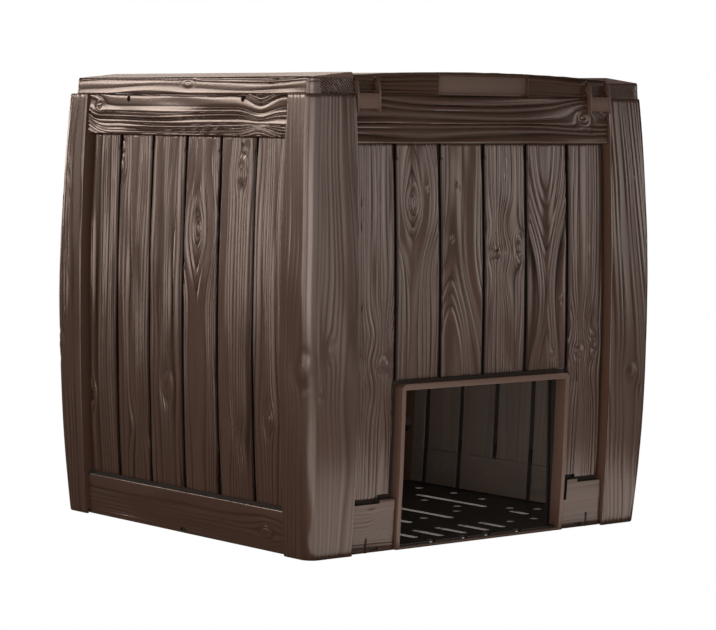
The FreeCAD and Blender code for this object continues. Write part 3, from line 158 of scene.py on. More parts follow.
CLIP_SLOT_LOW, CLIP_SLOT_HIGH = LID_FOOT + 4.0, LID_FOOT + 26.5    # the front skin is open here
CLIP_SLOT_HALF = 2.0        # around each rib of a clip, to this far on both sides
BOARD_LAP = (1.0, 1.5)      # a board's top skin reaches this far onto its inner and outer rounded edges

SWELL_RADIUS = (HEIGHT ** 2 / 4 + SWELL ** 2) / (2 * SWELL)


def swell_at(z):
    """Outward swell of posts and walls at a height."""
    return np.sqrt(SWELL_RADIUS ** 2 - (z - HEIGHT / 2) ** 2) - (SWELL_RADIUS - SWELL)


# ---- grain fields ----------------------------------------
def drift(a, b, seed, reach_a, reach_b, waves=5):
    """Smooth wandering between about -1 and 1 over two coordinates."""
    rng = np.random.default_rng(seed)
    total = np.zeros(np.broadcast(a, b).shape)
    for _ in range(waves):
        turn = rng.uniform(0, 2 * math.pi)
        scale = rng.uniform(0.6, 1.6)
        phase = rng.uniform(0, 2 * math.pi)
        along = a * math.cos(turn) / reach_a + b * math.sin(turn) / reach_b
        total = total + np.sin(scale * along * 2 * math.pi + phase)
    return total / waves * 1.6


def bell(s, t, place_s, place_t, reach_s, reach_t):
    """Smooth bump of height 1 around a place."""
    return np.exp(-((s - place_s) / reach_s) ** 2 - ((t - place_t) / reach_t) ** 2)


# Heights are in millimetres, and reaches go across and along the lines.
WANDER_REACH = (160.0, 520.0)
RIPPLE, RIPPLE_REACH = 0.15, (50.0, 190.0)      # the lines' small drift, as a share of their wander
UNDULATION, UNDULATION_REACH = 0.6, (42.0, 260.0)
EYE_PULL, EYE_PITCH, EYE_DENT = 1.5, 0.42, 0.5  # pull and spacing of an eye's rings in radii, and its depth
KNOT_HUMP, KNOT_MOAT = 0.9, 0.5
PIN_BUMP, PIN_DENT = 1.1, 0.7
RIDGE_LEAN, RIDGE_POWER = 0.4, 1.6              # where a ridge peaks off its middle, and how sharply
CALM = 0.85                                     # share of the grain that a calm patch takes away
LEAST_CELLS = 2.0                               # lines closer than this many grid cells are left out
FINISH_REACH = (10.0, 60.0)


def with_eyes(p, relief, s, t, eyes, seed, depth):
    """Ring each eye by closed lines, in a shallow dent."""
    for place_s, place_t, radius, stretch in eyes:
        near = bell(s, t, place_s, place_t, radius, radius * stretch)
        p = p - EYE_PULL * radius * near
        rho = np.hypot(s - place_s, (t - place_t) / stretch)
        turns = rho / (EYE_PITCH * radius) + 0.3 * drift(s, t, seed + 6, 30.0, 60.0)
        relief = relief + (0.45 * depth * np.cos(2 * math.pi * turns) - EYE_DENT) * near
    return p, relief


def with_knots(p, relief, s, t, knots, away):
    """Part the lines around each knot, a hump in a moat."""
    for place_s, place_t, radius, stretch in knots:
        across, along = s - place_s, (t - place_t) / stretch
        rho = np.hypot(across, along) + 1e-6
        ring = p - away * across + 1.1 * (radius - rho)
        around = p - away * across * (radius / np.maximum(rho, radius)) ** 2
        p = np.where(rho < radius, ring, around)
        hump = np.exp(-((rho / radius) ** 2))
        moat = np.exp(-(((rho - 1.3 * radius) / (0.4 * radius)) ** 2))
        relief = relief + KNOT_HUMP * hump - KNOT_MOAT * moat
    return p, relief


def with_pins(p, relief, s, t, pins, away):
    """Lead the lines around each pin, a small bump with a dent beside it."""
    for place_s, place_t in pins:
        p = p - away * (s - place_s) * 0.9 * bell(s, t, place_s, place_t, 5.0, 16.0)
        bump = bell(s, t, place_s, place_t, 2.6, 3.2)
        dent = bell(s, t, place_s + 3.4, place_t - 4.0, 2.2, 4.5)
        relief = relief + PIN_BUMP * bump - PIN_DENT * dent
    return p, relief


def ring_count(p, s, t, seed, spacing, dense):
    """How many lines lie between the field's zero and each place."""
    rng = np.random.default_rng(seed + 4)
    rings = p / spacing + 0.6 * np.sin(p / 11.0 + rng.uniform(0, 6))
    rings = rings + 0.25 * np.sin(p / 5.2 + rng.uniform(0, 6))
    if dense:
        place, side, tight = dense
        beyond = 4.0 * np.logaddexp(0.0, side * (s - place) / 4.0)
        rings = rings + side * (1 / tight - 1 / spacing) * beyond
    return rings + 0.2 * drift(rings, t, seed + 2, 3.7, 340.0)


def grain(s, t, seed, spacing=7.0, wander=4.0, arch=None, climbs=(), eyes=(), knots=(), pins=(), pinches=(),
          bows=(), calm=(), dense=None, slant=0.0, depth=1.15):
    """Relief of moulded wood grain, and the flow that its roughness streaks and its painted groove shade
    follow.

    s runs across the grain and t along it. The lines follow the levels of a field p, which grows
    across the grain or, with an arch (centre, width), away from its centre; each climb
    (place along, rise, reach) bends the arch into nested tips. An eye (s, t, radius, stretch) is
    ringed by closed lines, a knot (the same values) parts the lines, a pin (s, t) is a small bump,
    a pinch (s, t, radius, strength) gathers the lines, a bow (s, t, rise, reach across, reach along)
    lifts them, a calm patch (s, t, reach across, reach along) flattens them, and dense
    (place, side, spacing) draws them closer beyond a place. Slant leans the lines.
    """
    p = s + slant * t + wander * drift(s, t, seed, *WANDER_REACH)
    p = p + RIPPLE * wander * drift(s, t, seed + 1, *RIPPLE_REACH)
    away = 1.0
    if arch:
        centre, width = arch
        away = np.tanh((s - centre) / width)
        p = np.sqrt((p - centre) ** 2 + width ** 2)
        for place, rise, reach in climbs:
            p = p + rise * np.tanh((t - place) / reach)
    for place_s, place_t, rise, reach_s, reach_t in bows:
        p = p - rise * bell(s, t, place_s, place_t, reach_s, reach_t)
    relief = UNDULATION * drift(s, t, seed + 5, *UNDULATION_REACH)
    p, relief = with_eyes(p, relief, s, t, eyes, seed, depth)
    p, relief = with_knots(p, relief, s, t, knots, away)
    for place_s, place_t, radius, strength in pinches:
        p = p + away * strength * (s - place_s) * bell(s, t, place_s, place_t, radius, 1.5 * radius)
    p, relief = with_pins(p, relief, s, t, pins, away)
    rings = ring_count(p, s, t, seed, spacing, dense)
    across_ridge = 2 * (rings - np.floor(rings)) - 1
    peak = -RIDGE_LEAN * away
    gap_before, gap_behind = (peak - across_ridge) / (1 + peak), (across_ridge - peak) / (1 - peak)
    wave = 1 - 2 * np.where(across_ridge < peak, gap_before, gap_behind) ** RIDGE_POWER
    strength = 0.75 + 0.25 * np.cos(2.3 * rings + seed)
    size = np.clip(0.62 + 0.38 * drift(s, t, seed + 3, 60.0, 260.0), 0.15, 1.0)
    for place_s, place_t, reach_s, reach_t in calm:
        size = size * (1 - CALM * bell(s, t, place_s, place_t, reach_s, reach_t))
    slope_t, slope_s = np.gradient(rings)
    per_cell = np.hypot(slope_s, slope_t) + 1e-6
    size = size * np.clip((1 / per_cell - LEAST_CELLS) / LEAST_CELLS, 0.0, 1.0)
    relief = relief + depth * wave * strength * size
    # height from 0 in the grooves to 1 on the ridges; the material paints shade where it is low
    height = np.clip(0.5 + 0.5 * wave * strength * size * min(depth, 1.0), 0, 1)
    flow = np.stack([p / FINISH_REACH[0], t / FINISH_REACH[1], height], axis=-1)
    return relief, flow


def steps(low, high, size, extra=(), margin=(0.35, 1.0, 2.0)):
    """Grid lines between two limits, closer at both ends, with some exact ones."""
    inner_low, inner_high = low + margin[-1], high - margin[-1]
    count = max(2, int(round((inner_high - inner_low) / size)))
    lines = [low, high] + [low + m for m in margin[:-1]] + [high - m for m in margin[:-1]]
    lines += list(np.linspace(inner_low, inner_high, count + 1))
    for value in extra:
        lines = [line for line in lines if abs(line - value) > 0.3 * size or line in (low, high)]
    return np.array(sorted(set(lines) | set(extra)))


def round_off(line, radius, drop):
    """How far a face sinks beside both ends of a range of places."""
    gap = np.minimum(line - line.min(), line.max() - line)
    part = 1 - np.clip(gap / radius, 0, 1)
    return drop * (1 - np.sqrt(np.clip(1 - part ** 2, 0, 1)))


def rolled(grid_a, grid_b, radius=3.0, drop=1.5):
    """How far the face sinks beside the edges of a piece."""
    return np.maximum(round_off(grid_a, radius, drop), round_off(grid_b, radius, drop))


# ---- meshes ----------------------------------------------
def shell(outer, inner, flow, keep=None, lean=False):
    """Closed shell between two grids of points. Rows run up, columns to the right, seen from outside.

    Cells that keep leaves out are open through the shell. A lean shell has long faces at the back,
    one to a row, with points along its border only.
    """
    rows, columns = outer.shape[:2]
    count = rows * columns
    index = np.arange(count).reshape(rows, columns)
    cells = np.stack([index[:-1, :-1], index[:-1, 1:], index[1:, 1:], index[1:, :-1]], axis=-1)
    cells = cells[keep] if keep is not None else cells.reshape(-1, 4)
    points = outer.reshape(-1, 3)
    attribute = flow.reshape(-1, 3)
    if lean:
        ring = np.concatenate([index[0, :], index[1:, -1], index[-1, -2::-1], index[-2:0:-1, 0]])
        behind = {int(v): count + k for k, v in enumerate(ring)}
        points = np.concatenate([points, inner.reshape(-1, 3)[ring]])
        attribute = np.concatenate([attribute, attribute[ring]])
        faces = cells.tolist()
        following = np.roll(ring, -1)
        for a, b in zip(ring.tolist(), following.tolist()):
            faces.append([b, a, behind[a], behind[b]])
        for i in range(rows - 1):
            face = [behind[int(index[i, 0])], behind[int(index[i + 1, 0])]]
            upper = index[i + 1, 1:-1] if i == rows - 2 else []
            face += [behind[int(v)] for v in upper]
            face += [behind[int(index[i + 1, -1])], behind[int(index[i, -1])]]
            lower = index[i, -2:0:-1] if i == 0 else []
            face += [behind[int(v)] for v in lower]
            faces.append(face)
        return points, faces, attribute
    points = np.concatenate([points, inner.reshape(-1, 3)])
    attribute = np.concatenate([attribute, attribute])
    starts = cells.reshape(-1)
    ends = np.roll(cells, -1, axis=1).reshape(-1)
    lone = ~np.isin(starts * count + ends, ends * count + starts)
    a, b = starts[lone], ends[lone]
    sides = np.stack([b, a, a + count, b + count], axis=-1)
    faces = np.concatenate([cells, cells[:, ::-1] + count, sides])
    used, faces = np.unique(faces, return_inverse=True)
    return points[used], faces.reshape(-1, 4).tolist(), attribute[used]


def make_piece(name, chunks, material, body):
    """One object from several shells, riding on a body."""
    points, faces, attribute, start = [], [], [], 0
    for chunk_points, chunk_faces, chunk_attribute in chunks:
        points.append(chunk_points)
        attribute.append(chunk_attribute)
        faces += [[v + start for v in face] for face in chunk_faces]
        start += len(chunk_points)
    mesh = bpy.data.meshes.new(name)
    mesh.from_pydata((np.concatenate(points) * MM).tolist(), [], faces)
    # the third value of the grain attribute sets the painted shade in the grooves
    layer = mesh.attributes.new("grain", "FLOAT_VECTOR", "POINT")
    layer.data.foreach_set("vector", np.concatenate(attribute).astype(np.float32).ravel())
    mesh.shade_smooth()
    mesh.set_sharp_from_angle(angle=math.radians(50))
    mesh.materials.append(material)
    piece = bpy.data.objects.new(name, mesh)
    bpy.context.scene.collection.objects.link(piece)
    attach(piece, body)
    return piece


# ---- walls -----------------------------------------------
SIDES = {
    "front": (HALF_Y, SEAM_X, lambda u, out: (u, -out)),
    "rear": (HALF_Y, SEAM_X, lambda u, out: (-u, out)),
    "left": (HALF_X, SEAM_Y, lambda u, out: (-out, -u)),
    "right": (HALF_X, SEAM_Y, lambda u, out: (out, u)),
}


def on_wall(side, u, z, depth):
    """Points of a wall, from u, z and the depth behind the posts' face."""
    half, _, turn = SIDES[side]
    u, z, depth = np.broadcast_arrays(u, z, depth)
    x, y = turn(u, half + swell_at(z) - depth)
    return np.stack([x, y, z], axis=-1)


def wall_skin(side, u_low, u_high, z_low, z_high, face, back, look, across="u",
              fine=1.2, coarse=4.5, holes=(), proud=1.2, edge=(3.0, 1.5), vents=()):
    """Grain skin over a rectangle of a wall.

    Holes are (u low, u high, z low, z high), edge is the radius and drop of the upright edges, and
    vents are the z ranges where the skin is notched for the vents in the grooves.
    """
    size_u, size_z = (fine, coarse) if across == "u" else (coarse, fine)
    extra_u, extra_z = (), ()
    for hole in holes:
        extra_u += tuple(v for v in hole[:2] if u_low < v < u_high)
        extra_z += tuple(v for v in hole[2:] if z_low < v < z_high)
    for vent in vents:
        extra_z += (vent[0] - VENT_EDGE, vent[0] + VENT_EDGE, vent[1] - VENT_EDGE)
    u_lines = steps(u_low - SLACK, u_high + SLACK, size_u, extra_u)
    z_lines = steps(z_low - SLACK, z_high + SLACK, size_z, extra_z)
    u, z = np.meshgrid(u_lines, z_lines)
    s, t = (u, z) if across == "u" else (z, u)
    relief, flow = grain(s, t, **look)
    # painted shade: the grain's height falls to 0 towards a plank's upright edges, giving them the dark
    # groove colour
    if across == "u":
        from_edge = np.minimum(u - u_low, u_high - u)
        flow[..., 2] *= np.clip((from_edge - PAINTED_SHADE_START) / PAINTED_SHADE_EDGE, 0.0, 1.0)
    sunk = round_off(u, *edge) + round_off(z, *END_EDGE)
    lift = np.maximum(proud + SKIN_LIFT + relief, LEAST_LIFT) - sunk
    for low, high in vents:
        middle, half_width = (u_low + u_high) / 2, (u_high - u_low) / 2
        beside = np.clip((np.abs(u - middle) - half_width + NOTCH_FADE) / NOTCH_FADE, 0.0, 1.0)
        notch = np.where((z > low) & (z < high), VENT_NOTCH, 0.0) * beside
        u = u - np.sign(u - middle) * notch
    outer = on_wall(side, u, z, face - lift)
    inner = on_wall(side, u, z, back)
    keep = None
    if holes:
        keep = np.ones((len(z_lines) - 1, len(u_lines) - 1), bool)
        mid_u = (u_lines[:-1] + u_lines[1:]) / 2
        mid_z = (z_lines[:-1] + z_lines[1:]) / 2
        for low_u, high_u, low_z, high_z in holes:
            inside = (mid_z[:, None] > low_z) & (mid_z[:, None] < high_z)
            keep &= ~(inside & (mid_u[None, :] > low_u) & (mid_u[None, :] < high_u))
    return shell(outer, inner, flow, keep, lean=not holes)


def plank_spans(seam):
    """u ranges of a wall's planks."""
    pitch = 2 * (seam + PLANK_OVERHANG) / PLANK_COUNT
    joints = [(k - PLANK_COUNT / 2) * pitch for k in range(1, PLANK_COUNT)]
    half = seam - WALL_END_GAP
    lows = [EDGE_GROOVE_WIDTH - half] + [u + GROOVE_WIDTH / 2 for u in joints]
    highs = [u - GROOVE_WIDTH / 2 for u in joints] + [half - EDGE_GROOVE_WIDTH]
    return list(zip(lows, highs))


FRONT_PLANKS = (
    dict(seed=11, spacing=8.0, wander=3.0, knots=((-211, 297, 11, 1.0),), eyes=((-262, 300, 10, 2.0),),
         pinches=((-212, 338, 26, 1.1), (-212, 256, 26, 1.0))),
    dict(seed=22, spacing=11.0, arch=(-152.0, 8.0), climbs=((490, -16, 45), (640, 10, 40)),
         eyes=((-150, 550, 15, 1.7),), pins=((-122, 574),), depth=1.1),
    dict(seed=33, spacing=13.0, wander=8.0, arch=(-66.0, 14.0), climbs=((400, 24, 70),),
         pins=((-57, 578), (-71, 494)), calm=((-66, 480, 24, 60),), depth=1.1),
    dict(seed=44, spacing=8.0, wander=3.0, knots=((24, 466, 9, 1.0),), eyes=((76, 475, 12, 2.4),),
         pinches=((26, 510, 26, 1.1), (28, 425, 26, 0.9))),
    dict(seed=55, spacing=10.0, arch=(136.0, 10.0), climbs=((520, -22, 70), (330, 8, 60)),
         pins=((170, 389), (152, 297)), calm=((140, 560, 14, 60),), depth=1.0),
    dict(seed=66, spacing=8.0, wander=3.0, knots=((214, 299, 9, 1.0),), eyes=((250, 310, 8, 2.4),),
         pinches=((216, 340, 26, 1.1), (218, 258, 26, 0.9))),
)
LEFT_PLANKS = (
    dict(seed=71, spacing=9.0, wander=3.0, eyes=((-258, 206, 10, 2.2),), depth=1.5),
    dict(seed=72, spacing=9.0, knots=((-182, 600, 11, 1.6),), eyes=((-178, 632, 8, 1.6),),
         pinches=((-126, 159, 22, 1.0),), depth=1.5),
    dict(seed=73, spacing=12.0, calm=((-60, 480, 22, 80),), knots=((-42, 242, 12, 1.8),), depth=1.7),
    dict(seed=74, spacing=9.0, arch=(41.0, 8.0), climbs=((560, 10, 60), (440, -14, 50)),
         eyes=((41, 503, 13, 1.9),), depth=1.5),
    dict(seed=75, spacing=9.0, knots=((154, 592, 12, 1.7),), eyes=((160, 632, 9, 1.6),),
         pinches=((140, 169, 22, 1.0),), depth=1.5),
    dict(seed=76, spacing=9.0, wander=3.0, knots=((233, 210, 11, 1.9),), depth=1.5),
)


def plain_planks(seam, seed):
    """Grain of the planks that the front view doesn't show."""
    looks = []
    rng = np.random.default_rng(seed)
    for k, (low, high) in enumerate(plank_spans(seam)):
        place = rng.uniform(low + 18, high - 18)
        look = dict(seed=seed + k, spacing=rng.uniform(6.0, 8.0), wander=rng.uniform(4.0, 8.0))
        look["knots"] = ((place, rng.uniform(150, 600), rng.uniform(7, 13), rng.uniform(1.6, 2.3)),)
        if k % 3 == 1:
            look["eyes"] = ((low + high - place, rng.uniform(200, 500), 10, 2.0),)
        looks.append(look)
    return looks


def side_skins(side, looks, rail_look, foot_look, locks, holes, detail=1.0):
    """Planks and rails of a wall with two full rails."""
    seam = SIDES[side][1]
    rail_foot, rail_head = WALL_TOP - SIDE_TOP_RAIL, WALL_FOOT + SIDE_BOTTOM_RAIL
    fine, coarse = 1.2 * detail, 4.5 * detail
    foot = rail_head + LEDGE_RISE
    vents = ((foot, foot + VENT_HEIGHT), (rail_foot - VENT_HEIGHT, rail_foot))
    planks = [wall_skin(side, low, high, foot, rail_foot, PLANK_DEPTH, GROOVE_DEPTH - GROOVE_LAP, look,
                        fine=fine, coarse=coarse, edge=PLANK_EDGE, vents=vents)
              for (low, high), look in zip(plank_spans(seam), looks)]
    end = seam - WALL_END_GAP
    rails = [wall_skin(side, -end, end, rail_foot, WALL_TOP, RAIL_DEPTH, PLANK_DEPTH + RAIL_LAP, rail_look,
                       "z", fine=0.7 * fine, coarse=0.8 * coarse, holes=holes, proud=3.4)]
    slots = [(u - LOCK_HALF_WIDTH, u + LOCK_HALF_WIDTH, LOCK_LOW, LOCK_HIGH) for u in locks]
    rails.append(wall_skin(side, -end, end, WALL_FOOT, rail_head, RAIL_DEPTH, RAIL_DEPTH + FOOT_SKIN,
                           foot_look, "z", fine=fine, coarse=coarse, holes=slots, proud=0.6))
    return planks, rails


def front_skins():
    """Planks, top rail and the two blocks beside the hatch."""
    rail_foot, head = WALL_TOP - FRONT_TOP_RAIL, WALL_FOOT + FRONT_BOTTOM_RAIL
    step_u = FRAME_HALF + BLOCK_STEP_WIDTH
    beside_hatch = FRAME_HALF + GROOVE_WIDTH * 2 + 1    # planks that reach past this go down to the blocks
    vents = ((rail_foot - VENT_HEIGHT, rail_foot),)
    planks = []
    for (low, high), look in zip(plank_spans(SEAM_X), FRONT_PLANKS):
        foot, holes = FRAME_TOP + HEAD_SLIT, ()
        if max(abs(low), abs(high)) > beside_hatch:
            foot = head + PLANK_FOOT_GAP
            holes = ((-step_u, step_u, 0.0, foot + BLOCK_STEP),)
        back = GROOVE_DEPTH - GROOVE_LAP
        planks.append(wall_skin("front", low, high, foot, rail_foot, PLANK_DEPTH, back, look,
                                fine=1.0, coarse=3.2, holes=holes, edge=PLANK_EDGE, vents=vents))
    end = SEAM_X - WALL_END_GAP
    rail_look = dict(seed=81, spacing=20.0, wander=6.0, eyes=((687, 219, 13, 1.3),), pins=((662, 239),),
                     bows=((716, -320, 18, 24, 160), (704, 219, 14, 22, 50), (664, 219, -8, 20, 70)),
                     dense=(675, -1, 7.0), depth=1.6)
    rails = [wall_skin("front", -end, end, rail_foot, WALL_TOP, RAIL_DEPTH, PLANK_DEPTH + RAIL_LAP, rail_look,
                       "z", fine=0.9, coarse=3.2, proud=2.2)]
    lock = SEAM_X - LOCK_FROM_SEAM
    top = head + BLOCK_STEP
    left_look = dict(seed=82, spacing=6.0, eyes=((43, -203, 14, 1.4),), pins=((69, -230),), depth=0.25)
    right_look = dict(seed=83, spacing=11.0, depth=0.2)
    blocks = []
    for sign, look, slot in ((-1, left_look, LEFT_JAMB_SLOT), (1, right_look, RIGHT_JAMB_SLOT)):
        low, high = sorted((sign * FRAME_HALF, sign * end))
        step = sorted((sign * step_u, sign * (end + CUT_PAST)))
        jamb_slot = sorted((sign * (FRAME_HALF - CUT_PAST), sign * (FRAME_HALF + slot)))
        holes = ((*step, head, top + CUT_PAST), (*jamb_slot, JAMB_SLOT_FOOT, top + CUT_PAST),
                 (sign * lock - LOCK_HALF_WIDTH, sign * lock + LOCK_HALF_WIDTH, LOCK_LOW, LOCK_HIGH))
        blocks.append(wall_skin("front", low, high, WALL_FOOT, top, RAIL_DEPTH, RAIL_DEPTH + FOOT_SKIN, look,
                                "z", holes=holes))
    return planks, rails + blocks


def inner_skins(side, seed, z_low, z_high, lined=False):
    """Faint grain on the inner faces of the planks and of the bottom rail's lining."""
    seam = SIDES[side][1]
    chunks = []

    def panel(low, high, foot, head, across, look):
        """Add one panel that faces into the bin."""
        u, z = np.meshgrid(steps(low, high, 3.0), steps(foot, head, 6.0))
        s, t = (u, z) if across == "u" else (z, u)
        relief, flow = grain(s, t, spacing=11.0, depth=0.5, **look)
        lift = INNER_PROUD + INNER_RELIEF * relief - rolled(u, z, radius=1.5, drop=0.8)
        outer = on_wall(side, u, z, WALL_BACK + lift)[:, ::-1]
        inner = on_wall(side, u, z, WALL_BACK + INNER_START)[:, ::-1]
        chunks.append(shell(outer, inner, flow[:, ::-1], lean=True))

    spans = [(low + INNER_INSET, high - INNER_INSET) for low, high in plank_spans(seam)]
    for k, (low, high) in enumerate(spans):
        eye = ((low + high) / 2, 180 + 90 * k, 12, 2.2)
        panel(low, high, z_low, z_high, "u", dict(seed=seed + k, wander=8.0, eyes=(eye,)))
    if lined:
        spans[2:4] = [(spans[2][0], spans[3][1])]
        for k, (low, high) in enumerate(spans):
            eye = (50, (low + high) / 2, 12, 2.5)
            panel(low, high, LINING_FOOT, z_low - LINING_GAP, "z", dict(seed=seed + 40 + k, eyes=(eye,)))
    return chunks


# ---- posts -----------------------------------------------
def post_skin(sign_x, sign_y, look, crown=0.0, fine=1.5, coarse=4.5):
    """Grain skin around a corner post, from the front or rear seam to the side seam.

    The front or rear face stands out towards its seam by the crown.
    """
    flat_front = HALF_X - CORNER_RADIUS - SEAM_X
    flat_side = HALF_Y - CORNER_RADIUS - SEAM_Y
    arc = CORNER_RADIUS * math.pi / 2
    s_lines = steps(-flat_front, arc + flat_side, fine)
    z_lines = steps(POST_END, HEIGHT - POST_END, coarse)
    s, z = np.meshgrid(s_lines, z_lines)
    relief, flow = grain(s, z, **look)
    towards_seam = np.clip(-s / flat_front, 0.0, 1.0)
    lift = np.maximum(POST_PROUD + relief, LEAST_LIFT) - rolled(s, z) + crown * (1 - (1 - towards_seam) ** 2)

    def place(offset):
        """Points of the grid, this far outside the post's face."""
        out = swell_at(z)
        centre_x, centre_y = HALF_X - CORNER_RADIUS + out, HALF_Y - CORNER_RADIUS + out
        turn = np.clip(s / CORNER_RADIUS, 0, math.pi / 2)
        x = centre_x + (CORNER_RADIUS + offset) * np.sin(turn)
        y = centre_y + (CORNER_RADIUS + offset) * np.cos(turn)
        before, after = np.minimum(s, 0), np.maximum(s - arc, 0)
        x = x + before * (centre_x - SEAM_X) / flat_front
        y = y - after * (centre_y - SEAM_Y) / flat_side
        return np.stack([sign_x * x, sign_y * y, z], axis=-1)

    outer, inner = place(lift), place(-SKIN_BEHIND)
    if sign_x * sign_y < 0:
        return shell(outer, inner, flow)
    return shell(outer[:, ::-1], inner[:, ::-1], flow[:, ::-1])


# ---- lid -------------------------------------------------
def crown_at(x):
    """Height of the lid's crowned middle panel."""
    rise = PANEL_CREST - PANEL_EDGE
    radius = (PANEL_HALF ** 2 + rise ** 2) / (2 * rise)
    return PANEL_CREST - radius + np.sqrt(radius ** 2 - x ** 2)


def lid_top_skins():
    """Three grained boards on top of the middle panel."""
    groove, half_groove = PANEL_HALF / 3, GROOVE_WIDTH / 2
    spans = ((-PANEL_HALF, -groove - half_groove), (-groove + half_groove, groove - half_groove),
             (groove + half_groove, PANEL_HALF))
    chunks = []
    for k, (low, high) in enumerate(spans):
        x_lines = steps(low - SLACK, high + SLACK, 2.0)
        y_lines = steps(PANEL_FRONT + TOP_SETBACK, LID_REAR, 6.0)
        x, y = np.meshgrid(x_lines, y_lines)
        middle = (low + high) / 2
        knot = (middle + 30 - 30 * k, -120 + 130 * k, 13, 1.8)
        look = dict(seed=301 + k, spacing=9.0, wander=8.0, depth=0.45, knots=(knot,))
        if k == 1:
            look.update(arch=(middle, 14.0), climbs=((0, -40, 200),))
        relief, flow = grain(x, y, **look)
        lift = TOP_PROUD + TOP_RELIEF * relief - rolled(x, y)
        outer = np.stack([x, y, crown_at(x) + lift], axis=-1)
        inner = np.stack([x, y, crown_at(x) - TOP_BEHIND], axis=-1)
        chunks.append(shell(outer, inner, flow))
    return chunks


def lid_face_skins():
    """Front face of the middle panel, beside and above the grip plate, and its rear face."""
    def strip(x_low, x_high, z_foot, seed, y_face, way, slots=(), rows=24):
        """Skin from a height up to the crown, facing the way of y, open at the clips' slots."""
        extra = tuple(v for slot in slots for v in slot[:2])
        x_lines = steps(x_low, x_high, 4.0, extra)
        v_lines = np.linspace(0, 1, rows)
        rise_at_clip = crown_at(CLIP_OFFSET) - z_foot
        extra_rows = [(slot[k] - z_foot) / rise_at_clip for slot in slots[:1] for k in (2, 3)]
        v_lines = np.array(sorted(set(list(v_lines) + extra_rows)))
        x, v = np.meshgrid(x_lines, v_lines)
        top = crown_at(x) - FACE_END
        z = z_foot + v * (top - z_foot)
        relief, flow = grain(z, x, seed=seed, spacing=7.5, wander=6.0)
        from_clip = np.abs(np.abs(x) - CLIP_OFFSET) - CLIP_WIDTH / 2
        clear_of_clip = np.clip((from_clip - CLIP_CLEAR) / CLIP_FADE, 0.0, 1.0)
        grained_lift = np.maximum(FACE_PROUD + relief, 0.0) * clear_of_clip
        lift = LEAST_LIFT + grained_lift - rolled(z, x, radius=1.6, drop=0.9)
        outer = np.stack([x, y_face + way * lift, z], axis=-1)
        inner = np.stack([x, y_face - way * SKIN_BEHIND + 0 * x, z], axis=-1)
        keep = np.ones((len(v_lines) - 1, len(x_lines) - 1), bool)
        mid_x = (x_lines[:-1] + x_lines[1:]) / 2
        mid_z = z_foot + (v_lines[:-1] + v_lines[1:]) / 2 * rise_at_clip
        for low, high, z_low, z_high in slots:
            inside = (mid_z > z_low) & (mid_z < z_high)
            keep &= ~(inside[:, None] & (mid_x > low)[None, :] & (mid_x < high)[None, :])
        if way > 0:
            outer, inner, flow, keep = outer[:, ::-1], inner[:, ::-1], flow[:, ::-1], keep[:, ::-1]
        return shell(outer, inner, flow, keep)

    chunks = []
    for sign in (-1, 1):
        ribs = (CLIP_OFFSET - CLIP_WIDTH / 2 + CLIP_RIB / 2, CLIP_OFFSET + CLIP_WIDTH / 2 - CLIP_RIB / 2)
        slots = [(sign * rib - CLIP_SLOT_HALF, sign * rib + CLIP_SLOT_HALF, CLIP_SLOT_LOW, CLIP_SLOT_HIGH)
                 for rib in ribs]
        low, high = sorted((sign * RECESS_HALF, sign * PANEL_HALF))
        chunks.append(strip(low, high, LID_FOOT - LIP, 320 + sign, PANEL_FRONT, -1, slots))
    chunks.append(strip(-RECESS_HALF, RECESS_HALF, RECESS_TOP, 325, PANEL_FRONT, -1, rows=6))
    chunks.append(strip(-PANEL_HALF, PANEL_HALF, LID_FOOT + FACE_END, 326, LID_REAR, 1))
    return chunks


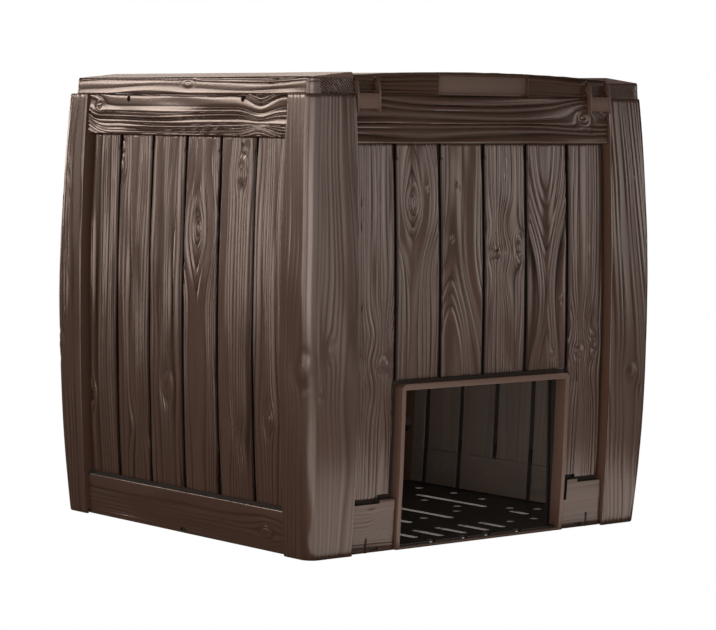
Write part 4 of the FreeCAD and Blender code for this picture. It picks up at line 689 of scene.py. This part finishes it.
def board_skins(sign, seed):
    """Side band and top of a lid board. Its front end shows the rings of the end grain."""
    end_start, end_fade = 3.0, 6.0      # the rings fade out from here before the corner, over this distance
    ring_pitch, pith_aside, pith_drop = 3.8, 30.0, 45.0     # rings, and their centre beside and below the end
    ring_height, more_on_left = 0.7, 0.4                    # the rings are higher on the left board
    end_run = BOARD_OUTER - LID_CORNER - BOARD_INNER
    side_run = LID_REAR - BOARD_FRONT - 2 * LID_CORNER
    arc = LID_CORNER * math.pi / 2
    corner_a, corner_b = arc, arc + side_run
    end_lines, front_lines = np.arange(3 - end_run, 0, 1.1), np.linspace(0, arc, 14)
    rear_lines = np.linspace(corner_b, corner_b + arc, 10)
    s_lines = steps(-end_run, corner_b + arc + end_run, 4.0, (*end_lines, *front_lines, *rear_lines))
    z_lines = steps(LID_FOOT - LIP, BOARD_EDGE - TOP_EDGE_GAP, 1.2)
    s, z = np.meshgrid(s_lines, z_lines)
    on_end = 1 - np.clip((s + end_start) / end_fade, 0, 1)
    relief, flow = grain(z, s, seed=seed, spacing=6.5, wander=4.0, knots=((LID_FOOT + 14, 330, 5, 2.5),),
                         depth=0.75)
    centre = pith_aside if sign < 0 else -end_run - pith_aside
    rings = np.hypot(s - centre, z - LID_FOOT + pith_drop) / ring_pitch
    end_grain = np.cos(2 * math.pi * rings)
    relief = relief * (1 - on_end) + (ring_height - more_on_left * sign) * end_grain * on_end
    # painted shade: the rings' height follows their relief, so their grooves take the dark colour
    flow[..., 2] = flow[..., 2] * (1 - on_end) + (0.5 + 0.4 * end_grain) * on_end
    lean = SIDE_LEAN * (BOARD_EDGE - z) / (BOARD_EDGE - LID_FOOT)
    lift = np.maximum(BAND_PROUD + relief, BAND_LEAST) + lean - rolled(z, s, radius=1.8, drop=0.9)

    def place(offset):
        """Points of the grid, this far outside the board's side face."""
        front_turn = np.clip(s / LID_CORNER, 0, math.pi / 2)
        rear_turn = np.clip((s - corner_b) / LID_CORNER, 0, math.pi / 2)
        turn = front_turn + rear_turn
        reach = LID_CORNER + offset
        x = BOARD_OUTER - LID_CORNER + reach * np.sin(turn)
        x = x + np.minimum(s, 0) - np.maximum(s - corner_b - arc, 0)
        run = np.clip(s - corner_a, 0, side_run)
        y = BOARD_FRONT + LID_CORNER - reach * np.cos(turn) + run
        return np.stack([sign * x, y, z], axis=-1)

    outer, inner = place(lift), place(-SKIN_BEHIND)
    if sign < 0:
        band = shell(outer[:, ::-1], inner[:, ::-1], flow[:, ::-1])
    else:
        band = shell(outer, inner, flow)

    a, b = np.meshgrid(steps(BOARD_INNER + BOARD_ROUND - BOARD_LAP[0],
                             BOARD_OUTER - BOARD_ROUND + BOARD_LAP[1], 2.0),
                       np.linspace(0, 1, 120))
    past_corner = np.clip(a - (BOARD_OUTER - LID_CORNER), 0, LID_CORNER)
    inset = LID_CORNER - np.sqrt(np.clip(LID_CORNER ** 2 - past_corner ** 2, 0, None))
    y_low, y_high = BOARD_FRONT + inset + TOP_EDGE_GAP, LID_REAR - inset - TOP_EDGE_GAP
    y = y_low + b * (y_high - y_low)
    relief, flow = grain(a, y, seed=seed + 9, spacing=8.0, wander=6.0,
                         knots=((BOARD_INNER + 40, 60, 10, 2.0),), depth=0.45)
    part = (a - BOARD_INNER - BOARD_ROUND) / (BOARD_OUTER - BOARD_INNER - 2 * BOARD_ROUND)
    top = BOARD_CREST + (BOARD_EDGE - BOARD_CREST) * part
    lift = BOARD_PROUD + TOP_RELIEF * relief - rolled(a, y, radius=2.5, drop=1.0)
    outer = np.stack([sign * a, y, top + lift], axis=-1)
    inner = np.stack([sign * a, y, top - TOP_BEHIND], axis=-1)
    if sign > 0:
        return [band, shell(outer, inner, flow)]
    return [band, shell(outer[:, ::-1], inner[:, ::-1], flow[:, ::-1])]


# ---- materials -------------------------------------------
def uneven(material, noise, roughness, band, bump, distance):
    """Let a noise vary the roughness by a band either way and, with a bump, the surface."""
    nodes, links = material.node_tree.nodes, material.node_tree.links
    shader = nodes["Principled BSDF"]
    spread = nodes.new("ShaderNodeMapRange")
    spread.inputs["To Min"].default_value = roughness - band
    spread.inputs["To Max"].default_value = roughness + band
    links.new(noise.outputs["Fac"], spread.inputs["Value"])
    links.new(spread.outputs["Result"], shader.inputs["Roughness"])
    if bump:
        relief = nodes.new("ShaderNodeBump")
        relief.inputs["Strength"].default_value = bump
        relief.inputs["Distance"].default_value = distance
        links.new(noise.outputs["Fac"], relief.inputs["Height"])
        links.new(relief.outputs["Normal"], shader.inputs["Normal"])


def plastic(name, colour, roughness, bump=0.0):
    """Satin plastic with a faint uneven surface."""
    material = bpy.data.materials.new(name)
    material.use_nodes = True
    nodes = material.node_tree.nodes
    nodes["Principled BSDF"].inputs["Base Color"].default_value = (*colour, 1.0)
    noise = nodes.new("ShaderNodeTexNoise")
    noise.inputs["Scale"].default_value = 60.0
    noise.inputs["Detail"].default_value = 3.0
    uneven(material, noise, roughness, 0.05, bump, 0.0005)
    return material


def grained(name, low, high, roughness, bump, shine=0.5):
    """Plastic with painted shade in the moulded grain's grooves: its colour and specular level drop from the
    ridges into the grooves.
    """
    material = bpy.data.materials.new(name)
    material.use_nodes = True
    nodes, links = material.node_tree.nodes, material.node_tree.links
    shader = nodes["Principled BSDF"]
    flow = nodes.new("ShaderNodeAttribute")
    flow.attribute_name = "grain"
    streaks = nodes.new("ShaderNodeTexNoise")
    streaks.inputs["Scale"].default_value = 5.0
    streaks.inputs["Detail"].default_value = 4.0
    links.new(flow.outputs["Vector"], streaks.inputs["Vector"])
    split = nodes.new("ShaderNodeSeparateXYZ")
    links.new(flow.outputs["Vector"], split.inputs["Vector"])
    # painted shade: less sheen towards the grain's grooves
    groove_shaded_sheen = nodes.new("ShaderNodeMapRange")
    groove_shaded_sheen.inputs["From Min"].default_value = 0.15
    groove_shaded_sheen.inputs["From Max"].default_value = 0.6
    groove_shaded_sheen.inputs["To Min"].default_value = 0.15 * shine
    groove_shaded_sheen.inputs["To Max"].default_value = shine
    links.new(split.outputs["Z"], groove_shaded_sheen.inputs["Value"])
    links.new(groove_shaded_sheen.outputs["Result"], shader.inputs["Specular IOR Level"])
    # painted shade: the low colour darkens the grain's grooves, the high colour is the ridges' brown
    ramp = nodes.new("ShaderNodeValToRGB")
    ramp.color_ramp.elements[0].position = 0.12
    ramp.color_ramp.elements[0].color = (*low, 1.0)
    ramp.color_ramp.elements[1].position = 0.62
    ramp.color_ramp.elements[1].color = (*high, 1.0)
    links.new(split.outputs["Z"], ramp.inputs["Fac"])
    links.new(ramp.outputs["Color"], shader.inputs["Base Color"])
    uneven(material, streaks, roughness, 0.03, bump, 0.0004)
    return material


def metal(name, colour, roughness):
    """Plain metal."""
    material = plastic(name, colour, roughness)
    material.node_tree.nodes["Principled BSDF"].inputs["Metallic"].default_value = 1.0
    return material


# the low colours below are painted shade for the grain's grooves
BROWN = grained("grained_brown", (0.010, 0.005, 0.0035), (0.048, 0.027, 0.019), 0.24, 0.06, 0.8)
# painted shade: the lid's front takes a dimmer, less shiny copy of the grained brown
LID_FACE = grained("grained_lid_front_painted_shade", (0.017, 0.009, 0.006), (0.041, 0.023, 0.015), 0.34, 0.06, 0.2)
# painted light: the inner faces take a greyer, lighter copy of the brown plastic for their look inside the
# bin
INNER = grained("inner_brown_painted_grey_light", (0.070, 0.058, 0.050), (0.115, 0.096, 0.082), 0.50, 0.15)
PLAIN = plastic("plain_brown", (0.073, 0.041, 0.029), 0.36, 0.05)
TRIM = plastic("trim_brown", (0.074, 0.045, 0.034), 0.42, 0.05)
PLATE = plastic("plate_brown", (0.083, 0.056, 0.045), 0.62, 0.05)
# painted shade: near black for the shade down in the wall's grooves, where the CAD panels show
SHADE = plastic("groove_painted_shade", (0.008, 0.007, 0.006), 0.8)
BLACK = plastic("black_plastic", (0.010, 0.009, 0.008), 0.45, 0.05)
STEEL = metal("zinc_steel", (0.55, 0.55, 0.56), 0.35)


def paint(node, material):
    """Give a CAD node its only material."""
    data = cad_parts[node].data
    data.materials.clear()
    data.materials.append(material)


def softened(node, width, material, body):
    """Copy of a CAD node with its sharp edges slightly rounded, standing for the node."""
    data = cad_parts[node].data.copy()
    form = bmesh.new()
    form.from_mesh(data)
    bmesh.ops.remove_doubles(form, verts=form.verts, dist=1e-6)
    bmesh.ops.dissolve_limit(form, angle_limit=math.radians(1.0), verts=form.verts, edges=form.edges)
    sharp = [edge for edge in form.edges
             if len(edge.link_faces) == 2 and edge.calc_face_angle() > math.radians(30)]
    bmesh.ops.bevel(form, geom=sharp, offset=width * MM, segments=2, profile=0.5, affect="EDGES",
                    clamp_overlap=True)
    form.to_mesh(data)
    form.free()
    data.shade_smooth()
    data.set_sharp_from_angle(angle=math.radians(35))
    data.materials.clear()
    data.materials.append(material)
    piece = bpy.data.objects.new(node + "_soft", data)
    bpy.context.scene.collection.objects.link(piece)
    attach(piece, body)
    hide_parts(node)
    return piece


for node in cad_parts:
    if node.startswith("wall_panel"):
        # the wall panels take the painted groove shade
        paint(node, SHADE)
    elif node.startswith(("corner_post", "lid_panel", "lid_board_left", "lid_board_right", "hatch_door")):
        paint(node, PLAIN)
    elif "screws" in node or "pin" in node:
        paint(node, STEEL)
    else:
        paint(node, BLACK)

# ---- pieces ----------------------------------------------
softened("hatch_frame", 0.8, TRIM, "bin")
softened("lid_grip_plate", 0.6, PLATE, "lid")
softened("lid_clip_left", 0.4, TRIM, "clip_left")
softened("lid_clip_right", 0.4, TRIM, "clip_right")

front_planks, front_rails = front_skins()
make_piece("front_planks", front_planks, BROWN, "bin")
make_piece("front_rail_and_blocks", front_rails, BROWN, "bin")

hole_u = SEAM_Y - TIE_HOLE_FROM_SEAM
hole_z = HEIGHT - TIE_HOLE_DROP
ties = [(u - wide, u + wide, hole_z - tall, hole_z + tall)
        for u in (-hole_u, hole_u) for wide, tall in TIE_STEPS]
left_rail = dict(seed=91, spacing=12.0, wander=4.0, knots=((700, -246, 11, 1.3),),
                 pinches=((672, 205, 20, 1.6),), bows=((690, -300, 34, 90, 48), (712, 205, -14, 26, 40)),
                 calm=((705, -30, 13, 110),), dense=(694, -1, 6.6), depth=1.9)
left_foot = dict(seed=92, spacing=9.0, wander=6.0, knots=((30, 225, 10, 1.8),),
                 calm=((25, 0, 20, 150),), depth=0.6)
planks, rails = side_skins("left", LEFT_PLANKS, left_rail, left_foot, (0.0,), ties, detail=0.85)
make_piece("left_planks", planks, BROWN, "bin")
make_piece("left_rails", rails, BROWN, "bin")
rear_locks = (LOCK_FROM_SEAM - SEAM_X, SEAM_X - LOCK_FROM_SEAM)
for side, seed, locks, holes in (("right", 400, (0.0,), ties), ("rear", 500, rear_locks, ())):
    rail = dict(seed=seed + 20, spacing=8.5, wander=6.0, knots=((695, -160, 10, 1.6),))
    foot = dict(seed=seed + 21, spacing=8.5, wander=6.0, knots=((40, 150, 10, 1.6),))
    planks, rails = side_skins(side, plain_planks(SIDES[side][1], seed), rail, foot, locks, holes, detail=1.3)
    make_piece(side + "_planks", planks, BROWN, "bin")
    make_piece(side + "_rails", rails, BROWN, "bin")

POSTS = {
    "front_left": (-1, -1, dict(seed=601, spacing=8.5, wander=6.0, knots=((27, 296, 14, 1.5),),
                                eyes=((-14, 328, 9, 2.0),), pins=((-3, 261),),
                                calm=((14, 520, 24, 300), (14, 120, 20, 120)), depth=0.4)),
    "front_right": (1, -1, dict(seed=602, spacing=8.0, wander=5.0, slant=0.06, knots=((-20, 257, 9, 1.6),),
                                pins=((-3, 235),), depth=0.8)),
    "rear_left": (-1, 1, dict(seed=603, spacing=8.5, wander=6.0, knots=((25, 287, 12, 1.6),))),
    "rear_right": (1, 1, dict(seed=604, spacing=8.5, wander=6.0, knots=((8, 420, 11, 1.6),))),
}
for name, (sign_x, sign_y, look) in POSTS.items():
    crown = NEAR_POST_CROWN if name == "front_left" else 0.0
    skins = [post_skin(sign_x, sign_y, look, crown)]
    make_piece("post_grain_" + name, skins, BROWN, "bin")

for side, seed in (("front", 700), ("rear", 710), ("left", 720), ("right", 730)):
    low, high = WALL_FOOT + INNER_FROM_END, WALL_TOP - INNER_FROM_END
    if side == "front":
        low, high = FRAME_TOP + INNER_ABOVE_FRAME, WALL_TOP - INNER_BELOW_TOP
    skins = inner_skins(side, seed, low, high, lined=side != "front")
    make_piece("inner_planks_" + side, skins, INNER, "bin")

make_piece("lid_boards_top", lid_top_skins(), BROWN, "lid")
make_piece("lid_faces", lid_face_skins(), LID_FACE, "lid")
make_piece("lid_side_left", board_skins(-1, 801), BROWN, "lid")
make_piece("lid_side_right", board_skins(1, 811), BROWN, "lid")

# ---- stage -----------------------------------------------
FLOOR_REACH = 12.0          # metres from the centre
FLOOR_DROP = 0.0005
WHITE = (1.0, 1.0, 1.0, 1.0)
FLOOR_GREY = (0.30, 0.29, 0.28, 1.0)
WORLD_GREY = (0.62, 0.60, 0.60, 1.0)
WORLD_LEVEL = 0.07
SOFT_WHITE = (1.0, 0.865, 0.785)
WARM = (1.0, 0.80, 0.69)
LIGHT_LEVEL = 0.74          # share of every light's power


def shade_by_ray(owner, output, seen, lit, colour):
    """Plain white to the eye, and a colour to the light. Returns the shader of that colour.

    The output, what is seen and what is lit are kinds of shader nodes.
    """
    owner.use_nodes = True
    nodes, links = owner.node_tree.nodes, owner.node_tree.links
    nodes.clear()
    surface = nodes.new("ShaderNode" + output).inputs["Surface"]
    path = nodes.new("ShaderNodeLightPath")
    mix = nodes.new("ShaderNodeMixShader")
    seen_shader = nodes.new("ShaderNode" + seen)
    lit_shader = nodes.new("ShaderNode" + lit)
    seen_shader.inputs["Color"].default_value = WHITE
    lit_shader.inputs["Color"].default_value = colour
    links.new(path.outputs["Is Camera Ray"], mix.inputs["Fac"])
    links.new(lit_shader.outputs[0], mix.inputs[1])
    links.new(seen_shader.outputs[0], mix.inputs[2])
    links.new(mix.outputs["Shader"], surface)
    return lit_shader


def pale_floor():
    """Wide floor just under the bin's feet."""
    corners = [(x * FLOOR_REACH, y * FLOOR_REACH, 0) for x, y in ((-1, -1), (1, -1), (1, 1), (-1, 1))]
    mesh = bpy.data.meshes.new("floor")
    mesh.from_pydata(corners, [], [(0, 1, 2, 3)])
    floor = bpy.data.objects.new("floor", mesh)
    floor.location.z = -FLOOR_DROP
    bpy.context.scene.collection.objects.link(floor)
    material = bpy.data.materials.new("pale_floor")
    shade_by_ray(material, "OutputMaterial", "Emission", "BsdfDiffuse", FLOOR_GREY)
    mesh.materials.append(material)


def studio_world():
    """White surroundings that light the bin only faintly."""
    world = bpy.data.worlds.new("studio")
    bpy.context.scene.world = world
    grey = shade_by_ray(world, "OutputWorld", "Background", "Background", WORLD_GREY)
    grey.inputs["Strength"].default_value = WORLD_LEVEL


def softbox(name, place, aim, width, height, power, colour=SOFT_WHITE):
    """Soft area light at a place, facing a point, in metres."""
    light = bpy.data.lights.new(name, "AREA")
    light.shape = "RECTANGLE"
    light.size = width
    light.size_y = height
    light.energy = LIGHT_LEVEL * power
    light.color = colour
    lamp = bpy.data.objects.new(name, light)
    lamp.location = place
    lamp.rotation_euler = (Vector(aim) - Vector(place)).to_track_quat("-Z", "Y").to_euler()
    lamp.visible_camera = False
    bpy.context.scene.collection.objects.link(lamp)


pale_floor()
studio_world()
softbox("key_far", (6.0, -3.5, 0.75), (0, -0.2, 0.5), 4.6, 1.5, 58)
softbox("near_right", (0.3, -1.9, 0.62), (-0.33, -0.33, 0.5), 0.7, 1.15, 6.0)
softbox("floor_right", (2.4, -1.35, 0.001), (2.4, -1.35, 1), 3.0, 1.4, 5)
softbox("fill_front", (-1.6, -4.1, 0.8), (-0.33, -0.33, 0.5), 3.4, 1.7, 42)
softbox("corner_left", (-4.1, -2.4, 0.7), (-0.35, -0.38, 0.4), 3.0, 1.8, 130)
softbox("left_front", (-4.0, -0.5, 0.9), (-0.35, -0.1, 0.4), 1.4, 1.6, 12, WARM)
softbox("left_strip", (-4.29, 0.4, 0.7), (-0.35, -0.33, 0.5), 0.4, 1.7, 24, WARM)
softbox("left_side", (-3.85, 1.7, 0.95), (-0.35, 0, 0.4), 1.5, 1.6, 46, WARM)
softbox("left_rear", (-2.9, 3.6, 0.8), (-0.35, 0, 0.7), 1.2, 0.9, 4, WARM)
softbox("rear", (-0.6, 5.0, 1.0), (-0.35, 0.3, 0.5), 1.4, 1.6, 48, WARM)
softbox("left_rear_high", (-2.8, 3.5, 1.7), (-0.35, 0, 0.7), 1.2, 0.7, 42, WARM)
softbox("floor_mid", (0.7, -1.5, 0.001), (0.7, -1.5, 1), 1.6, 0.9, 1)
softbox("floor_near", (0.1, -0.62, 0.001), (0.1, -0.62, 1), 1.1, 0.52, 3.6)
softbox("floor_corner", (-0.8, -1.0, 0.001), (-0.8, -1.0, 1), 0.8, 0.8, 6)
softbox("rear_right", (3.2, 3.9, 2.1), (0, 0, 0.75), 2.4, 1.2, 18, WARM)
softbox("overhead", (0.5, 0, 4.0), (0, 0, 0), 2.5, 2.5, 20)
softbox("inside", (-0.08, -0.08, 0.5), (0.33, 0.1, 0.2), 0.12, 0.12, 0.6)
softbox("under_base", (0, 0, 0.0002), (0, 0, 1), 0.62, 0.58, 7.0)

# ---- camera ----------------------------------------------
AZIMUTH, ELEVATION, ROLL = math.radians(-39.46), math.radians(4.27), math.radians(0.60)
CAMERA_PLACE = (-2.8788, -3.5153, 0.6852)
LENS, SENSOR = 133.49, 36.0
FAR_LIMIT = 100.0


def studio_camera():
    """Camera at its place, turned by its azimuth, elevation and roll."""
    back = Vector((math.sin(AZIMUTH) * math.cos(ELEVATION), -math.cos(AZIMUTH) * math.cos(ELEVATION),
                   math.sin(ELEVATION)))
    right = (-back).cross(Vector((0, 0, 1))).normalized()
    up = right.cross(-back)
    turned_right = right * math.cos(ROLL) + up * math.sin(ROLL)
    turned_up = up * math.cos(ROLL) - right * math.sin(ROLL)
    matrix = Matrix((turned_right, turned_up, back)).transposed().to_4x4()
    matrix.translation = Vector(CAMERA_PLACE)
    data = bpy.data.cameras.new("camera")
    data.sensor_width = SENSOR
    data.lens = LENS
    data.clip_end = FAR_LIMIT
    camera = bpy.data.objects.new("camera", data)
    camera.matrix_world = matrix
    bpy.context.scene.collection.objects.link(camera)
    return camera


bpy.context.scene.camera = studio_camera()
bpy.context.scene.view_settings.view_transform = "Standard"
